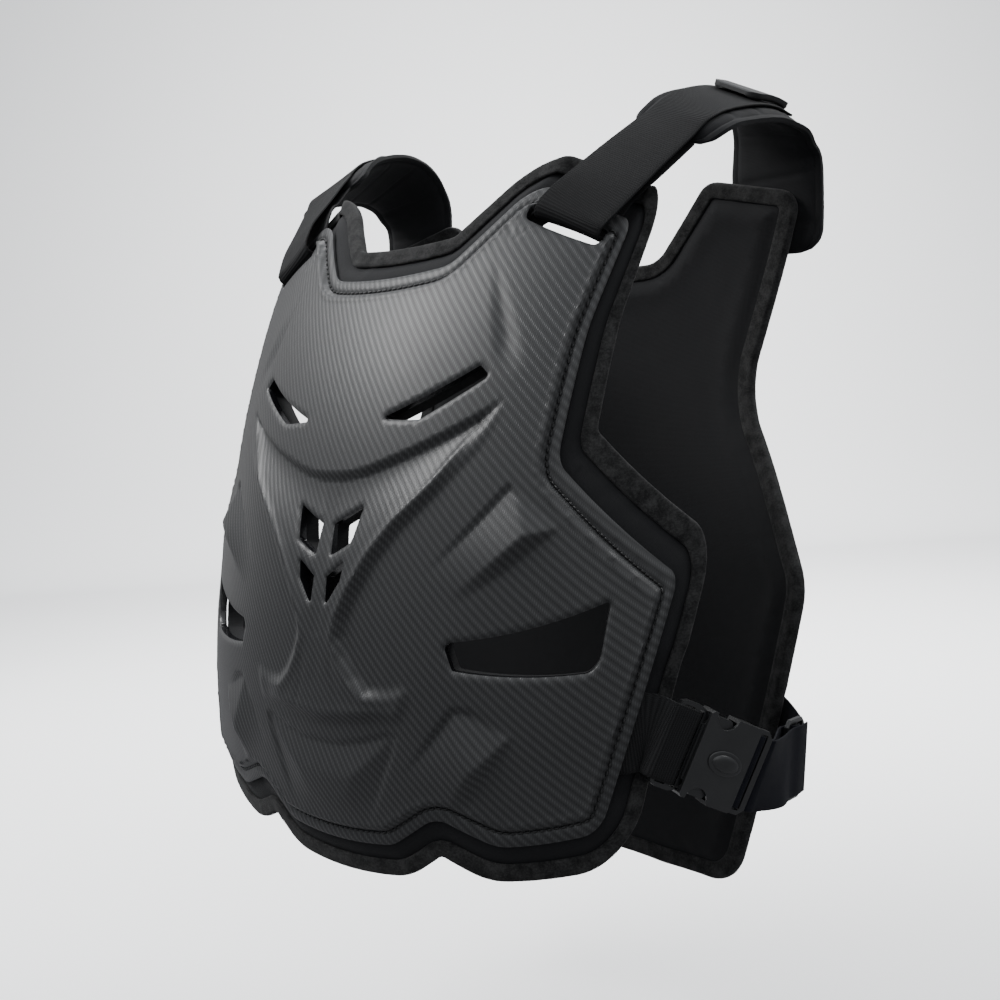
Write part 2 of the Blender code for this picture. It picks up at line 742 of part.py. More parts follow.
def strap_station(ahead, lift, bow=SLOT_BOW):
    """Station of the shoulder strap near its slot, a distance ahead of it up the strap."""
    spot = slot_middle() + strap_way() * ahead
    aside = np.array([strap_way()[1], -strap_way()[0]]) * MM
    here = chest_point(spot[0], spot[1], lift)
    across = chest_point(spot[0] + aside[0], spot[1] + aside[1], lift) - here
    return np.concatenate([here, unit(across), [bow]])


def make_shoulder_strap(side, finish):
    """Webbing from the yoke's front end, behind the shell, out of the slot and back up."""
    half = WEB_THICKNESS / 2
    under = -PANEL_RISE - SHELL_WALL - 5 * CLEAR - half
    over = half + 5 * CLEAR
    turn = SLOT_HALF_WIDTH - half - 1.5 * CLEAR
    sewn = shoulder_stations(-half - STRAP_SEAT - YOKE_THICKNESS / 2, 1, 2)
    back = sewn[0][:3] - sewn[1][:3]
    sewn[1][:3] += back / np.linalg.norm(back) * 2 * CLEAR
    lower = [strap_station(0.028, under, SLOT_BOW / 2),
             strap_station(0.014, under), strap_station(SLOT_HALF_WIDTH, under)]
    bend = [strap_station(turn - 0.0012, under + 0.0004),
            strap_station(turn - 0.0032, under + 0.0026),
            strap_station(turn - 0.0032, over - 0.0026),
            strap_station(turn - 0.0012, over - 0.0002)]
    upper = [strap_station(SLOT_HALF_WIDTH + 0.001, over + 0.0003),
             strap_station(0.016, over + 0.0016, SLOT_BOW / 2)]
    free = shoulder_stations(0.0, 0, 6) + shoulder_stations(STRAP_SEAT, 7, 7)
    route = sewn[::-1] + lower + bend + upper + free
    profile = band(WEB_WIDTH, WEB_THICKNESS)
    return add_sweep(sided("shoulder_strap", side), route, profile, finish, side, step=0.012)


def make_tab(side, finish):
    lift = WEB_THICKNESS / 2 + STRAP_SEAT + TAB_THICKNESS / 2
    stations = shoulder_stations(lift, 5, 6) + shoulder_stations(lift + 1.5 * STRAP_SEAT, 7, 7)
    profile = pillow(TAB_WIDTH, TAB_THICKNESS, 0.6 * TAB_THICKNESS)
    return add_sweep(sided("strap_tab", side), stations, profile, finish, side)


# Side straps and buckles

def unit(vector):
    vector = np.array(vector, float)
    return vector / np.linalg.norm(vector)


def frame_of(start, along, across):
    """Start, along, across and outward directions of a flat hard piece."""
    along = unit(along)
    across = unit(np.array(across) - along * (np.array(across) @ along))
    return np.array(start), along, across, np.cross(along, across)


def in_frame(frame, p, a, q):
    start, along, across, outward = frame
    return start + along * p + across * a + outward * q


def frame_station(frame, p, q):
    return np.concatenate([in_frame(frame, p, 0.0, q), frame[2], [0.0]])


def buckle_frame():
    return frame_of(buckle_start(), BUCKLE_ALONG, BUCKLE_ACROSS)


def slider_frame():
    return frame_of(buckle_start() + np.array(SLIDER_LEAD), SLIDER_ALONG, SLIDER_ACROSS)


def plate_mesh(outline, holes, low, high):
    """Points and faces of a flat plate, in its own frame."""
    flat, faces = flat_mesh(outline, holes, [], 1.0)
    count = len(flat)
    points = [(x, y, high) for x, y in flat] + [(x, y, low) for x, y in flat]
    skin = list(faces) + [tuple(count + v for v in reversed(f)) for f in faces]
    used = {(f[i], f[(i + 1) % 3]) for f in faces for i in range(3)}
    skin += [(b, a, count + a, count + b) for a, b in used if (b, a) not in used]
    return points, skin


def add_plate(name, outline, holes, low, high, finish):
    points, faces = plate_mesh(outline, holes, low, high)
    return add_object(name, points, faces, finish)


def joined(target, other, operation):
    """Apply a Boolean of two objects and remove the second."""
    change = target.modifiers.new(operation.lower(), "BOOLEAN")
    change.operation = operation
    change.solver = "EXACT"
    change.object = other
    view = bpy.context.evaluated_depsgraph_get()
    mesh = bpy.data.meshes.new_from_object(target.evaluated_get(view))
    target.modifiers.clear()
    old = target.data
    target.data = mesh
    bpy.data.meshes.remove(old)
    bpy.data.objects.remove(other, do_unlink=True)
    return target


def put_in_frame(made, frame, side):
    """Carry a piece from its own frame to its place on one side of the body."""
    start, along, across, outward = frame
    for vertex in made.data.vertices:
        p, a, q = vertex.co
        place = in_frame(frame, p, a, q)
        vertex.co = (place[0] * side, place[1], place[2])
    shape = bmesh.new()
    shape.from_mesh(made.data)
    bmesh.ops.triangulate(shape, faces=shape.faces)
    bmesh.ops.recalc_face_normals(shape, faces=shape.faces)
    shape.to_mesh(made.data)
    shape.free()
    made.data.shade_smooth()
    made.data.set_sharp_from_angle(angle=0.6)
    return made


def oblong(p_low, p_high, half_width, radius, step=0.006):
    corners = [(p_low, half_width, radius), (p_high, half_width, radius),
               (p_high, -half_width, radius), (p_low, -half_width, radius)]
    return rounded(corners, step if radius > SHARP_CORNER else p_high - p_low)


def notched(p_low, p_high, half_width, radius):
    """Outline of the buckle's body with a round finger notch in each long side."""
    centre = p_low + NOTCH_START + NOTCH_LENGTH / 2
    line = []
    for k in range(9):
        angle = math.pi * k / 8
        line.append((centre - NOTCH_LENGTH / 2 * math.cos(angle),
                     half_width - NOTCH_DEPTH * math.sin(angle)))
    top = [(p_low, half_width - 0.0015), (p_low + 0.0015, half_width)] + line
    top += [(p_high - radius, half_width), (p_high - 0.3 * radius, half_width - 0.3 * radius),
            (p_high, half_width - radius)]
    return np.array(top + [(p, -a) for p, a in reversed(top)])


def make_socket(side, finish):
    """Socket half: a hollow body with finger notches and an end frame for the elastic."""
    half = BUCKLE_WIDTH / 2
    start = BUCKLE_LOOP_LENGTH
    end = start + BUCKLE_BODY_LENGTH
    deep = BUCKLE_THICKNESS / 2
    body_end = end - SOCKET_FRAME_LENGTH
    made = add_plate("socket", notched(start, body_end, half, 0.002), [], -deep, deep, finish)
    rail = add_plate("rail", oblong(body_end - 0.004, end, half, 0.004),
                     [oblong(body_end, end - BUCKLE_BAR, half - FRAME_RAIL, 0.0005)],
                     -FRAME_THICKNESS / 2, FRAME_THICKNESS / 2, finish)
    joined(made, rail, "UNION")
    inner = add_plate("bar", oblong(body_end + 0.0030, body_end + 0.0052, half - 0.001, 0.0004),
                      [], -0.0012, 0.0012, finish)
    joined(made, inner, "UNION")
    room = deep - SOCKET_WALL
    hollow = add_plate("hollow", oblong(start - 0.01, body_end - 0.003, half - SOCKET_WALL, 0.0005),
                       [], -room, room, finish)
    joined(made, hollow, "DIFFERENCE")
    button = add_plate("button", oval(start + 0.020, 0.0, 0.0105, 0.0062), [],
                       deep - 0.0006, deep + 0.0009, finish)
    joined(made, button, "UNION")
    made.name = sided("buckle_socket", side)
    return put_in_frame(made, buckle_frame(), side)


def oval(p, a, half_length, half_width):
    angles = np.arange(20) / 20 * 2 * math.pi
    return np.stack([p + half_length * np.cos(angles), a + half_width * np.sin(angles)], 1)


def make_prong(side, finish):
    """Pronged half: a webbing loop, a base and two arms whose grips fill the socket's notches."""
    half = BUCKLE_WIDTH / 2
    start = BUCKLE_LOOP_LENGTH
    room = half - SOCKET_WALL - CLEAR
    thick = BUCKLE_THICKNESS / 2 - SOCKET_WALL - CLEAR
    made = add_plate("prong", oblong(0.0, start - CLEAR, half, 0.005),
                     [oblong(0.0035, 0.0105, half - FRAME_RAIL, 0.0005),
                      oblong(0.0135, start - 0.0022, half - FRAME_RAIL, 0.0005)],
                     -FRAME_THICKNESS / 2, FRAME_THICKNESS / 2, finish)
    stem = add_plate("stem", oblong(start - 0.0015, start + 0.006, 0.0165, 0.0005), [],
                     -thick, thick, finish)
    joined(made, stem, "UNION")
    notch = start + NOTCH_START
    for way in (1, -1):
        arm = [(start + 0.002, 0.0095), (start + 0.002, 0.0160), (notch + 0.001, room - 0.0045),
               (notch + 0.003, room), (notch + NOTCH_LENGTH - 0.003, room),
               (notch + NOTCH_LENGTH - 0.001, room - 0.003), (notch + NOTCH_LENGTH - 0.001, room - 0.0075),
               (notch + 0.004, room - 0.0090)]
        piece = add_plate("arm", np.array([(p, way * a) for p, a in arm]), [], -thick, thick, finish)
        joined(made, piece, "UNION")
    guide = add_plate("guide", oblong(start + 0.004, start + 0.024, 0.0025, 0.001), [],
                      -thick, thick, finish)
    joined(made, guide, "UNION")
    made.name = sided("buckle_prong", side)
    return put_in_frame(made, buckle_frame(), side)


def make_slider(side, finish):
    half = BUCKLE_WIDTH / 2
    reach = SLIDER_LENGTH / 2
    holes = [oblong(way * 0.0052 - 0.0037, way * 0.0052 + 0.0037, half - FRAME_RAIL, 0.0005)
             for way in (1, -1)]
    made = add_plate("slider", oblong(-reach, reach, half, 0.004), holes,
                     -SLIDER_THICKNESS / 2, SLIDER_THICKNESS / 2, finish)
    made.name = sided("slider", side)
    return put_in_frame(made, slider_frame(), side)


def make_side_web(side, finish):
    """Ribbed webbing from under the shell, over the buckle's bars and back."""
    half = WEB_THICKNESS / 2
    under = -PANEL_RISE - SHELL_WALL - 2 * CLEAR - half
    buckle = buckle_frame()
    off = FRAME_THICKNESS / 2 + CLEAR + half
    route = [web_station(-0.020, under), web_station(-0.010, under), web_station(0.0025, under)]
    route += [frame_station(buckle, p, q) for p, q in (
        (-0.0020, off), (0.0030, off), (0.0110, off), (0.0140, off - 0.0002), (0.0153, 0.0012),
        (0.0153, -0.0012), (0.0140, 0.0002 - off), (0.0110, -off), (0.0030, -off),
        (0.0008, -off))]
    return add_sweep(sided("side_web", side), route, band(WEB_WIDTH - 0.001, WEB_THICKNESS),
                     finish, side, step=0.006)


def web_station(ahead, lift):
    spot = web_middle() + web_way() * ahead
    aside = np.array([-web_way()[1], web_way()[0]]) * MM
    here = chest_point(spot[0], spot[1], lift)
    across = chest_point(spot[0] + aside[0], spot[1] + aside[1], lift) - here
    return np.concatenate([here, unit(across), [WEB_BOW]])


def make_side_elastic(side, finish):
    """Elastic from the back pad through the slider, round the socket's bar and back."""
    half = ELASTIC_THICKNESS / 2
    buckle = buckle_frame()
    slider = slider_frame()
    end = BUCKLE_LOOP_LENGTH + BUCKLE_BODY_LENGTH
    bar = end - SOCKET_FRAME_LENGTH + 0.0041
    off = 0.0012 + CLEAR + half
    side_off = SLIDER_THICKNESS / 2 + CLEAR + half
    anchor = []
    seat = CLEAR + half
    first, last = [share * BACK_HALF_WIDTH for share in ELASTIC_SEWN]
    for across, lift in ((first, seat), (last, seat), (last + 0.018, seat + 0.0030)):
        here = back_point(across, BACK_ANCHOR_HEIGHT, lift)
        aside = back_point(across, BACK_ANCHOR_HEIGHT + MM, lift) - here
        anchor.append(np.concatenate([here, unit(aside), [0.0]]))
    low = side_off + 0.0001
    route = anchor
    route += [frame_station(slider, p, q) for p, q in (
        (0.0170, -low - 0.0004), (0.0096, -low), (0.0074, -0.0019), (0.0052, 0.0), (0.0030, 0.0019),
        (0.0008, low), (-0.0008, low), (-0.0030, 0.0019), (-0.0052, 0.0), (-0.0074, -0.0019),
        (-0.0096, -low), (-0.0170, -low - 0.0004))]
    route += [frame_station(buckle, p, q) for p, q in (
        (end + 0.006, -0.0050), (end - 0.002, -0.0048), (bar + 0.0024, -0.0042),
        (bar - 0.0008, -0.0029), (bar - 0.0029, -0.0010), (bar - 0.0029, 0.0010),
        (bar - 0.0018, off + 0.0001), (bar + 0.0013, off + 0.0001), (bar + 0.0027, 0.0010),
        (bar + 0.0026, -0.0016), (bar + 0.0040, -0.0031), (end, -0.0033), (end + 0.006, -0.0022))]
    route += [frame_station(slider, p, q) for p, q in (
        (-0.030, side_off + 0.005), (-0.0120, side_off + 0.0018), (0.0, side_off + 3 * half + CLEAR),
        (0.0115, side_off + 0.0010))]
    return add_sweep(sided("side_elastic", side), route, strip(WEB_WIDTH - 0.001, ELASTIC_THICKNESS),
                     finish, side, step=0.007)


def main():
    clear_scene()
    carbon = material("carbon_vinyl", (0.035, 0.036, 0.038), 0.42)
    cloth = material("pad_fabric", (0.012, 0.012, 0.014), 0.85)
    edging = material("edging", (0.014, 0.014, 0.015), 0.95)
    webbing = material("webbing", (0.013, 0.013, 0.014), 0.80)
    elastic = material("elastic", (0.010, 0.011, 0.020), 0.80)
    plastic = material("plastic", (0.020, 0.021, 0.022), 0.38)
    rubber = material("rubber", (0.016, 0.016, 0.017), 0.55)
    make_chest_shell(carbon)
    make_chest_pad(cloth)
    middle = chest_pad_top() - PAD_THICKNESS / 2
    binding_ring("chest_binding", shell_outline(PAD_MARGIN), chest_point, middle, strap_press, edging)
    make_back_pad(cloth)
    binding_ring("back_binding", back_outline(), back_point, -BACK_THICKNESS / 2, no_press, edging)
    for side in (LEFT, RIGHT):
        make_yoke(side, cloth)
        make_shoulder_strap(side, webbing)
        make_tab(side, rubber)
        make_side_web(side, webbing)
        make_prong(side, plastic)
        make_socket(side, plastic)
        make_slider(side, plastic)
        make_side_elastic(side, elastic)


main()
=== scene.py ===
# %% [markdown]
# Chest protector, dressed
# The solids of this protector come from its own CAD model, packed as a fixed frame. This lesson
# keeps them in place and puts a detailed piece over each one: a moulded shell with a diagonal
# twill, foam pads with fuzzy edging, ribbed webbing and fastened buckles. Metres, +Z up, the
# wearer's left is +X and the chest faces -Y. The origin lies midway between the shoulders.

# %% Load the frame
import bmesh
import bpy
import math
import numpy as np
from mathutils import Matrix, Vector, noise
from mathutils.geometry import delaunay_2d_cdt


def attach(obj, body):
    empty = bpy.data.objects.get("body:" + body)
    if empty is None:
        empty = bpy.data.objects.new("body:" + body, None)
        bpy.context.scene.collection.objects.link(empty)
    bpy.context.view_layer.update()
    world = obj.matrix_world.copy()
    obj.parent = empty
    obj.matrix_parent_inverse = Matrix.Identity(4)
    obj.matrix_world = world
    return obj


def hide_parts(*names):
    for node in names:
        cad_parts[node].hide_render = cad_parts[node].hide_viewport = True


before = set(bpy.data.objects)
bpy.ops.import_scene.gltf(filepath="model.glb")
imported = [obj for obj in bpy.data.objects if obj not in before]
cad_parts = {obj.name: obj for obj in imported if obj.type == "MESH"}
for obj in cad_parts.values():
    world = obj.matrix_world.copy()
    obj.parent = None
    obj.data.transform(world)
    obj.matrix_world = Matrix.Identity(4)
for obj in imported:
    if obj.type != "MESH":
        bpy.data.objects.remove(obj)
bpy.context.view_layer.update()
MM = 0.001
LEFT, RIGHT = 1, -1

# %% [markdown]
# Camera
# The photograph was taken from the wearer's left front, a little above the middle of the chest
# and about 85 cm away. A 41 mm lens on a 36 mm sensor has the same perspective. The camera rolls
# a few degrees, as one held in the hand does, so its three directions are built from angles
# instead of from a target point.

# %% Camera
CAMERA_PLACE = (0.5090, -0.7115, -0.1665)
CAMERA_TURN = 0.6699                # radians from straight in front, towards the wearer's left
CAMERA_TILT = 0.1068                # looking down
CAMERA_ROLL = -0.0617
CAMERA_LENS = 41.38


def camera_matrix():
    ahead = Vector((-math.sin(CAMERA_TURN) * math.cos(CAMERA_TILT),
                    math.cos(CAMERA_TURN) * math.cos(CAMERA_TILT), -math.sin(CAMERA_TILT)))
    level = Vector((math.cos(CAMERA_TURN), math.sin(CAMERA_TURN), 0.0))
    upright = level.cross(ahead)
    right = level * math.cos(CAMERA_ROLL) + upright * math.sin(CAMERA_ROLL)
    up = upright * math.cos(CAMERA_ROLL) - level * math.sin(CAMERA_ROLL)
    turn = Matrix((right, up, -ahead)).transposed().to_4x4()
    return Matrix.Translation(Vector(CAMERA_PLACE)) @ turn


camera = bpy.data.objects.new("camera", bpy.data.cameras.new("camera"))
bpy.context.scene.collection.objects.link(camera)
camera.data.lens = CAMERA_LENS
camera.data.sensor_width = 36.0
camera.matrix_world = camera_matrix()
bpy.context.scene.camera = camera
print("camera looks along", [round(v, 2) for v in -camera_matrix().to_3x3().col[2]])

# %% [markdown]
# Studio
# The photograph has a pale, even backdrop and one large soft light from above and the left, so
# every ridge of the shell has a light upper side and a dark lower side. A pale floor that bends up
# into a wall gives the same ground. One light would leave near-black pieces without form, so a key
# from the upper left has weaker ones beside it: a fill, a side light, a rim from behind and one for
# the wall alone. The paper is pale to the camera and grey to the object, which keeps blacks deep.

# %% Paper backdrop
FLOOR_HEIGHT = -0.68
PAPER_HALF = 3.0                    # half the side of the flat sheet of paper
PAPER_WIDER = 2.2
BEND_AT = 0.55                      # share of the sheet that lies on the floor
FLOOR_LENGTH, BEND_DEPTH, BEND_HEIGHT = 5.2, 0.9, 3.4
SKY_RAMP = (("From Min", -0.1), ("From Max", 0.9), ("To Min", 0.25), ("To Max", 1.35))
SKY_COLOUR = (0.90, 0.93, 0.97)
PALE = (0.93, 0.935, 0.94)
SEEN_AIR = 0.80                     # how bright the air beyond the backdrop looks
FLAGGED = (0.16, 0.16, 0.165)       # what the object sees of it, as with black flags round it


def add_backdrop():
    shape = bmesh.new()
    bmesh.ops.create_grid(shape, x_segments=1, y_segments=40, size=PAPER_HALF)
    for vertex in shape.verts:
        along = (vertex.co.y + PAPER_HALF) / (2 * PAPER_HALF)
        bend = max(0.0, along - BEND_AT) / (1.0 - BEND_AT) * math.pi / 2
        vertex.co.x *= PAPER_WIDER
        vertex.co.y = FLOOR_LENGTH * min(along, BEND_AT) / BEND_AT - PAPER_HALF + BEND_DEPTH * math.sin(bend)
        vertex.co.z = FLOOR_HEIGHT + BEND_HEIGHT * (1.0 - math.cos(bend))
        vertex.co = Matrix.Rotation(CAMERA_TURN, 3, "Z") @ vertex.co
    mesh = bpy.data.meshes.new("backdrop")
    shape.to_mesh(mesh)
    shape.free()
    mesh.shade_smooth()
    made = bpy.data.objects.new("backdrop", mesh)
    finish = bpy.data.materials.new("pale_paper")
    finish.use_nodes = True
    shader = finish.node_tree.nodes["Principled BSDF"]
    shader.inputs["Roughness"].default_value = 0.9
    tree = finish.node_tree
    seen = tree.nodes.new("ShaderNodeLightPath").outputs["Is Camera Ray"]
    tint = tree.nodes.new("ShaderNodeMix")
    tint.data_type = "RGBA"
    tint.inputs[6].default_value = (*FLAGGED, 1.0)
    tint.inputs[7].default_value = (*PALE, 1.0)
    tree.links.new(seen, tint.inputs[0])
    tree.links.new(tint.outputs[2], shader.inputs["Base Color"])
    mesh.materials.append(finish)
    bpy.context.scene.collection.objects.link(made)
    return made


add_backdrop()
print("paper floor at height", FLOOR_HEIGHT)

# %% Lights and air
def add_light(name, place, target, size, power):
    lamp = bpy.data.lights.new(name, "AREA")
    lamp.shape = "RECTANGLE"
    lamp.size, lamp.size_y = size
    lamp.energy = power
    made = bpy.data.objects.new(name, lamp)
    made.location = place
    made.rotation_euler = (Vector(target) - Vector(place)).to_track_quat("-Z", "Y").to_euler()
    bpy.context.scene.collection.objects.link(made)
    return made


CHEST = (0.0, -0.15, -0.20)
add_light("key", (-0.85, -0.95, 1.10), CHEST, (0.80, 0.70), 31.0)
add_light("fill", (1.50, -0.95, 0.35), CHEST, (1.2, 1.2), 2.5)
add_light("side", (-1.45, -0.10, 0.25), CHEST, (0.8, 1.6), 3.0)
add_light("rim", (0.70, 1.10, 0.95), CHEST, (1.2, 0.6), 14.0)
add_light("wall", (-0.35, 0.75, 1.05), (-1.30, 1.90, -0.30), (1.6, 0.8), 110.0)
world = bpy.data.worlds.new("soft_air")
world.use_nodes = True
sky = world.node_tree
height = sky.nodes.new("ShaderNodeSeparateXYZ")
sky.links.new(sky.nodes.new("ShaderNodeTexCoord").outputs["Generated"], height.inputs[0])
ramp = sky.nodes.new("ShaderNodeMapRange")
for name, value in SKY_RAMP:
    ramp.inputs[name].default_value = value
sky.links.new(height.outputs["Z"], ramp.inputs["Value"])
seen = sky.nodes.new("ShaderNodeMix")
sky.links.new(sky.nodes.new("ShaderNodeLightPath").outputs["Is Camera Ray"], seen.inputs[0])
sky.links.new(ramp.outputs["Result"], seen.inputs[2])
seen.inputs[3].default_value = SEEN_AIR
sky.links.new(seen.outputs[0], sky.nodes["Background"].inputs["Strength"])
sky.nodes["Background"].inputs["Color"].default_value = (*SKY_COLOUR, 1.0)
bpy.context.scene.world = world

# %% [markdown]
# The form of the torso
# The shell and both pads are moulded over a chest. Modelling that by hand would mean one bent
# grid for each layer, and the layers would never stay parallel. Here every layer is cut flat, as
# the real one is, in coordinates across and up from the middle of the hem line, and a function
# carries any flat point onto the chest at a chosen lift along its normal.

# %% Form of the torso
SHOULDER_HEIGHT = 0.462             # from the hem line up to the origin
SHOULDER_DEPTH = 0.250
SHELL_HALF_WIDTH = 0.226            # laid flat
SHELL_HEIGHT = 0.400
BACK_HALF_WIDTH = 0.224
BACK_HEIGHT = 0.497
BACK_DEPTH = 0.054
BACK_HEM_DROP = 0.072
CHEST_TURN = (0.663, 0.858, -0.481)         # at the hem, by the share of the height and its square
CHEST_TURN_END = (0.120, -0.300, 0.730)
CHEST_LEAN = (-0.1227, 0.2732, 0.0998)      # by the share of the height, its square and its cube
CHEST_RISE = 0.335                          # of the sides, over the middle
BACK_LEAN = 0.1376


def smooth(value):
    value = np.clip(value, 0.0, 1.0)
    return value * value * (3.0 - 2.0 * value)


def turned(across, turn, turn_end, half_width):
    """Side and backward reach of a level section that turns steadily, and faster at its end."""
    steps = 24
    length = np.abs(across)[..., None] * np.linspace(0.0, 1.0, steps + 1) / half_width
    angle = turn[..., None] * length + turn_end[..., None] * length ** 3
    stride = np.abs(across) / steps
    side = (np.cos(angle)[..., :-1] + np.cos(angle)[..., 1:]).sum(-1) / 2 * stride
    back = (np.sin(angle)[..., :-1] + np.sin(angle)[..., 1:]).sum(-1) / 2 * stride
    return np.sign(across) * side, back


def chest_surface(across, up):
    share = up / SHELL_HEIGHT
    turn, turn_end = (a + b * share + c * share ** 2 for a, b, c in (CHEST_TURN, CHEST_TURN_END))
    side, back = turned(across, turn, turn_end, SHELL_HALF_WIDTH)
    a, b, c = CHEST_LEAN
    lean = SHELL_HEIGHT * (a * share + b * share ** 2 + c * share ** 3)
    rise = CHEST_RISE * SHELL_HALF_WIDTH * (across / SHELL_HALF_WIDTH) ** 2
    return np.stack([side, lean + back - SHOULDER_DEPTH, up + rise - SHOULDER_HEIGHT], -1)


def back_surface(across, up):
    share = up / BACK_HEIGHT
    turn = 0.60 - 0.50 * smooth((share - 0.45) / 0.50)
    side, forward = turned(across, turn, 0.0 * turn, BACK_HALF_WIDTH)
    lean = BACK_DEPTH - BACK_LEAN * BACK_HEIGHT * (share - 0.82) ** 2
    return np.stack([side, lean - forward, up - SHOULDER_HEIGHT - BACK_HEM_DROP], -1)


def on_form(surface, flat, lift):
    """Flat points (across, up) on a torso form, moved out along its normal by lift."""
    across, up = np.asarray(flat, float).T
    small = 0.5 * MM
    along = surface(across + small, up) - surface(across - small, up)
    rising = surface(across, up + small) - surface(across, up - small)
    normal = np.cross(along, rising) * (1 if surface is chest_surface else -1)
    normal /= np.linalg.norm(normal, axis=-1, keepdims=True)
    return surface(across, up) + normal * np.broadcast_to(lift, across.shape)[:, None]


def spot_on(surface, across, up, lift):
    return on_form(surface, [(across, up)], lift)[0]


print("hem middle", np.round(spot_on(chest_surface, 0.0, 0.0, 0.0), 3))

# %% [markdown]
# Flat patterns
# A pattern is a list of corners with a radius each, as a cutter would draw it: straight runs and
# round arcs. Shares of the width and height keep it readable. Blender's two-dimensional
# triangulation then fills the outline round its holes and puts points on every crease line, which
# a plain grid could not follow.

# %% Flat outlines
SHELL_CORNERS = (                   # across and up as shares, corner radius in mm
    (0.221, 0.908, 18.0), (0.420, 1.005, 22.0), (0.770, 0.848, 14.0), (0.699, 0.712, 80.0),
    (0.662, 0.535, 25.0), (1.000, 0.262, 14.0), (0.761, -0.008, 13.0), (0.500, 0.028, 40.0),
    (0.336, 0.093, 16.0), (0.195, 0.053, 20.0))
WINDOW_CORNERS = ((0.385, 0.343, 3.0), (0.411, 0.300, 3.0), (0.783, 0.212, 7.0), (0.819, 0.297, 3.0))
SLIT_CORNERS = ((0.133, 0.685, 1.2), (0.257, 0.672, 2.0), (0.442, 0.705, 2.0), (0.411, 0.726, 2.0))
UPPER_LOUVRE_CORNERS = ((0.022, 0.536, 1.0), (0.029, 0.489, 1.0), (0.100, 0.508, 1.0), (0.120, 0.561, 1.0))
LOWER_LOUVRE_CORNERS = ((0.024, 0.458, 1.0), (0.028, 0.416, 1.0), (0.075, 0.452, 1.0), (0.084, 0.481, 1.0))
SLOT_ENDS = ((0.447, 0.945), (0.673, 0.850))
SLOT_HALF_WIDTH = 0.005
BACK_CORNERS = (
    (0.330, 0.888, 26.0), (0.530, 0.994, 12.0), (0.830, 0.960, 12.0), (0.660, 0.690, 70.0),
    (1.000, 0.447, 32.0), (0.705, 0.022, 32.0), (0.400, 0.010, 60.0))


def sized(rows, width, height):
    return [(row[0] * width, row[1] * height) + tuple(r * MM for r in row[2:]) for row in rows]


def mirrored_ring(rows):
    return list(rows) + [(-row[0],) + tuple(row[1:]) for row in reversed(rows)]


def ring_sign(ring):
    area = sum(ring[i - 1][0] * ring[i][1] - ring[i][0] * ring[i - 1][1] for i in range(len(ring)))
    return 1.0 if area > 0 else -1.0


def widened(corners, distance):
    """Corners of a ring moved out by distance, with each rounding kept parallel."""
    made = []
    turn_sign = ring_sign(corners)
    for i, corner in enumerate(corners):
        before, here = Vector(corners[i - 1][:2]), Vector(corner[:2])
        after = Vector(corners[(i + 1) % len(corners)][:2])
        first, second = (here - before).normalized(), (after - here).normalized()
        out_first = Vector((first.y, -first.x)) * turn_sign
        out_second = Vector((second.y, -second.x)) * turn_sign
        middle = (out_first + out_second).normalized()
        reach = distance / max(0.35, middle.dot(out_first))
        bulges = (first.x * second.y - first.y * second.x) * turn_sign > 0
        radius = corner[2] + (distance if bulges else -distance)
        made.append((here.x + middle.x * reach, here.y + middle.y * reach, max(radius, 0.4 * corner[2])))
    return made


print("corners of the shell", len(mirrored_ring(SHELL_CORNERS)))

# %% Lines with round corners
def rounded(corners, step):
    """Closed line through corners (across, up, radius) with round arcs, in steps of about step."""
    count = len(corners)
    runs = []
    for i in range(count):
        before, here = Vector(corners[i - 1][:2]), Vector(corners[i][:2])
        after = Vector(corners[(i + 1) % count][:2])
        inward, onward = (before - here).normalized(), (after - here).normalized()
        half = math.acos(max(-1.0, min(1.0, inward.dot(onward)))) / 2
        shorter = min((before - here).length, (after - here).length)
        cut = min(corners[i][2] / math.tan(half), 0.48 * shorter)
        radius = cut * math.tan(half)
        centre = here + (inward + onward).normalized() * (radius / math.sin(half))
        sweep = math.pi - 2 * half
        pieces = max(2, round(sweep * radius / step), round(sweep / 0.25))
        side = 1.0 if inward.x * onward.y - inward.y * onward.x < 0 else -1.0
        first = here + inward * cut - centre
        runs.append([centre + Matrix.Rotation(side * sweep * k / pieces, 2) @ first
                     for k in range(pieces + 1)])
    line = []
    for i in range(count):
        line += runs[i]
        gap = runs[(i + 1) % count][0] - runs[i][-1]
        pieces = max(1, round(gap.length / step))
        line += [runs[i][-1] + gap * (k / pieces) for k in range(1, pieces)]
    return np.array([(p.x, p.y) for p in line])


def lengths_along(line):
    """Length from a line's first point to each of its points."""
    return np.concatenate([[0.0], np.cumsum(np.linalg.norm(np.diff(line, axis=0), axis=1))])


def even_ring(ring, step):
    """The same closed line with points at an even distance."""
    closed = np.vstack([ring, ring[:1]])
    length = lengths_along(closed)
    spots = np.linspace(0.0, length[-1], max(8, round(length[-1] / step)), endpoint=False)
    return np.stack([np.interp(spots, length, closed[:, k]) for k in (0, 1)], 1)


def parallel(ring, distance):
    """A ring moved out by distance at each of its points."""
    ahead = np.roll(ring, -1, 0) - np.roll(ring, 1, 0)
    ahead /= np.linalg.norm(ahead, axis=1)[:, None]
    return ring + np.stack([ahead[:, 1], -ahead[:, 0]], 1) * ring_sign(ring) * distance


print("lengths along sides of 3 and 4", lengths_along(np.array([(0, 0), (3, 0), (3, 4)])))

# %% Distances on the flat sheet
def inside(points, ring):
    x, y = points[:, 0], points[:, 1]
    result = np.zeros(len(points), bool)
    for a, b in zip(ring, np.roll(ring, -1, 0)):
        rise = b[1] - a[1] if b[1] != a[1] else 1e-12
        result ^= ((a[1] > y) != (b[1] > y)) & (x < (b[0] - a[0]) * (y - a[1]) / rise + a[0])
    return result


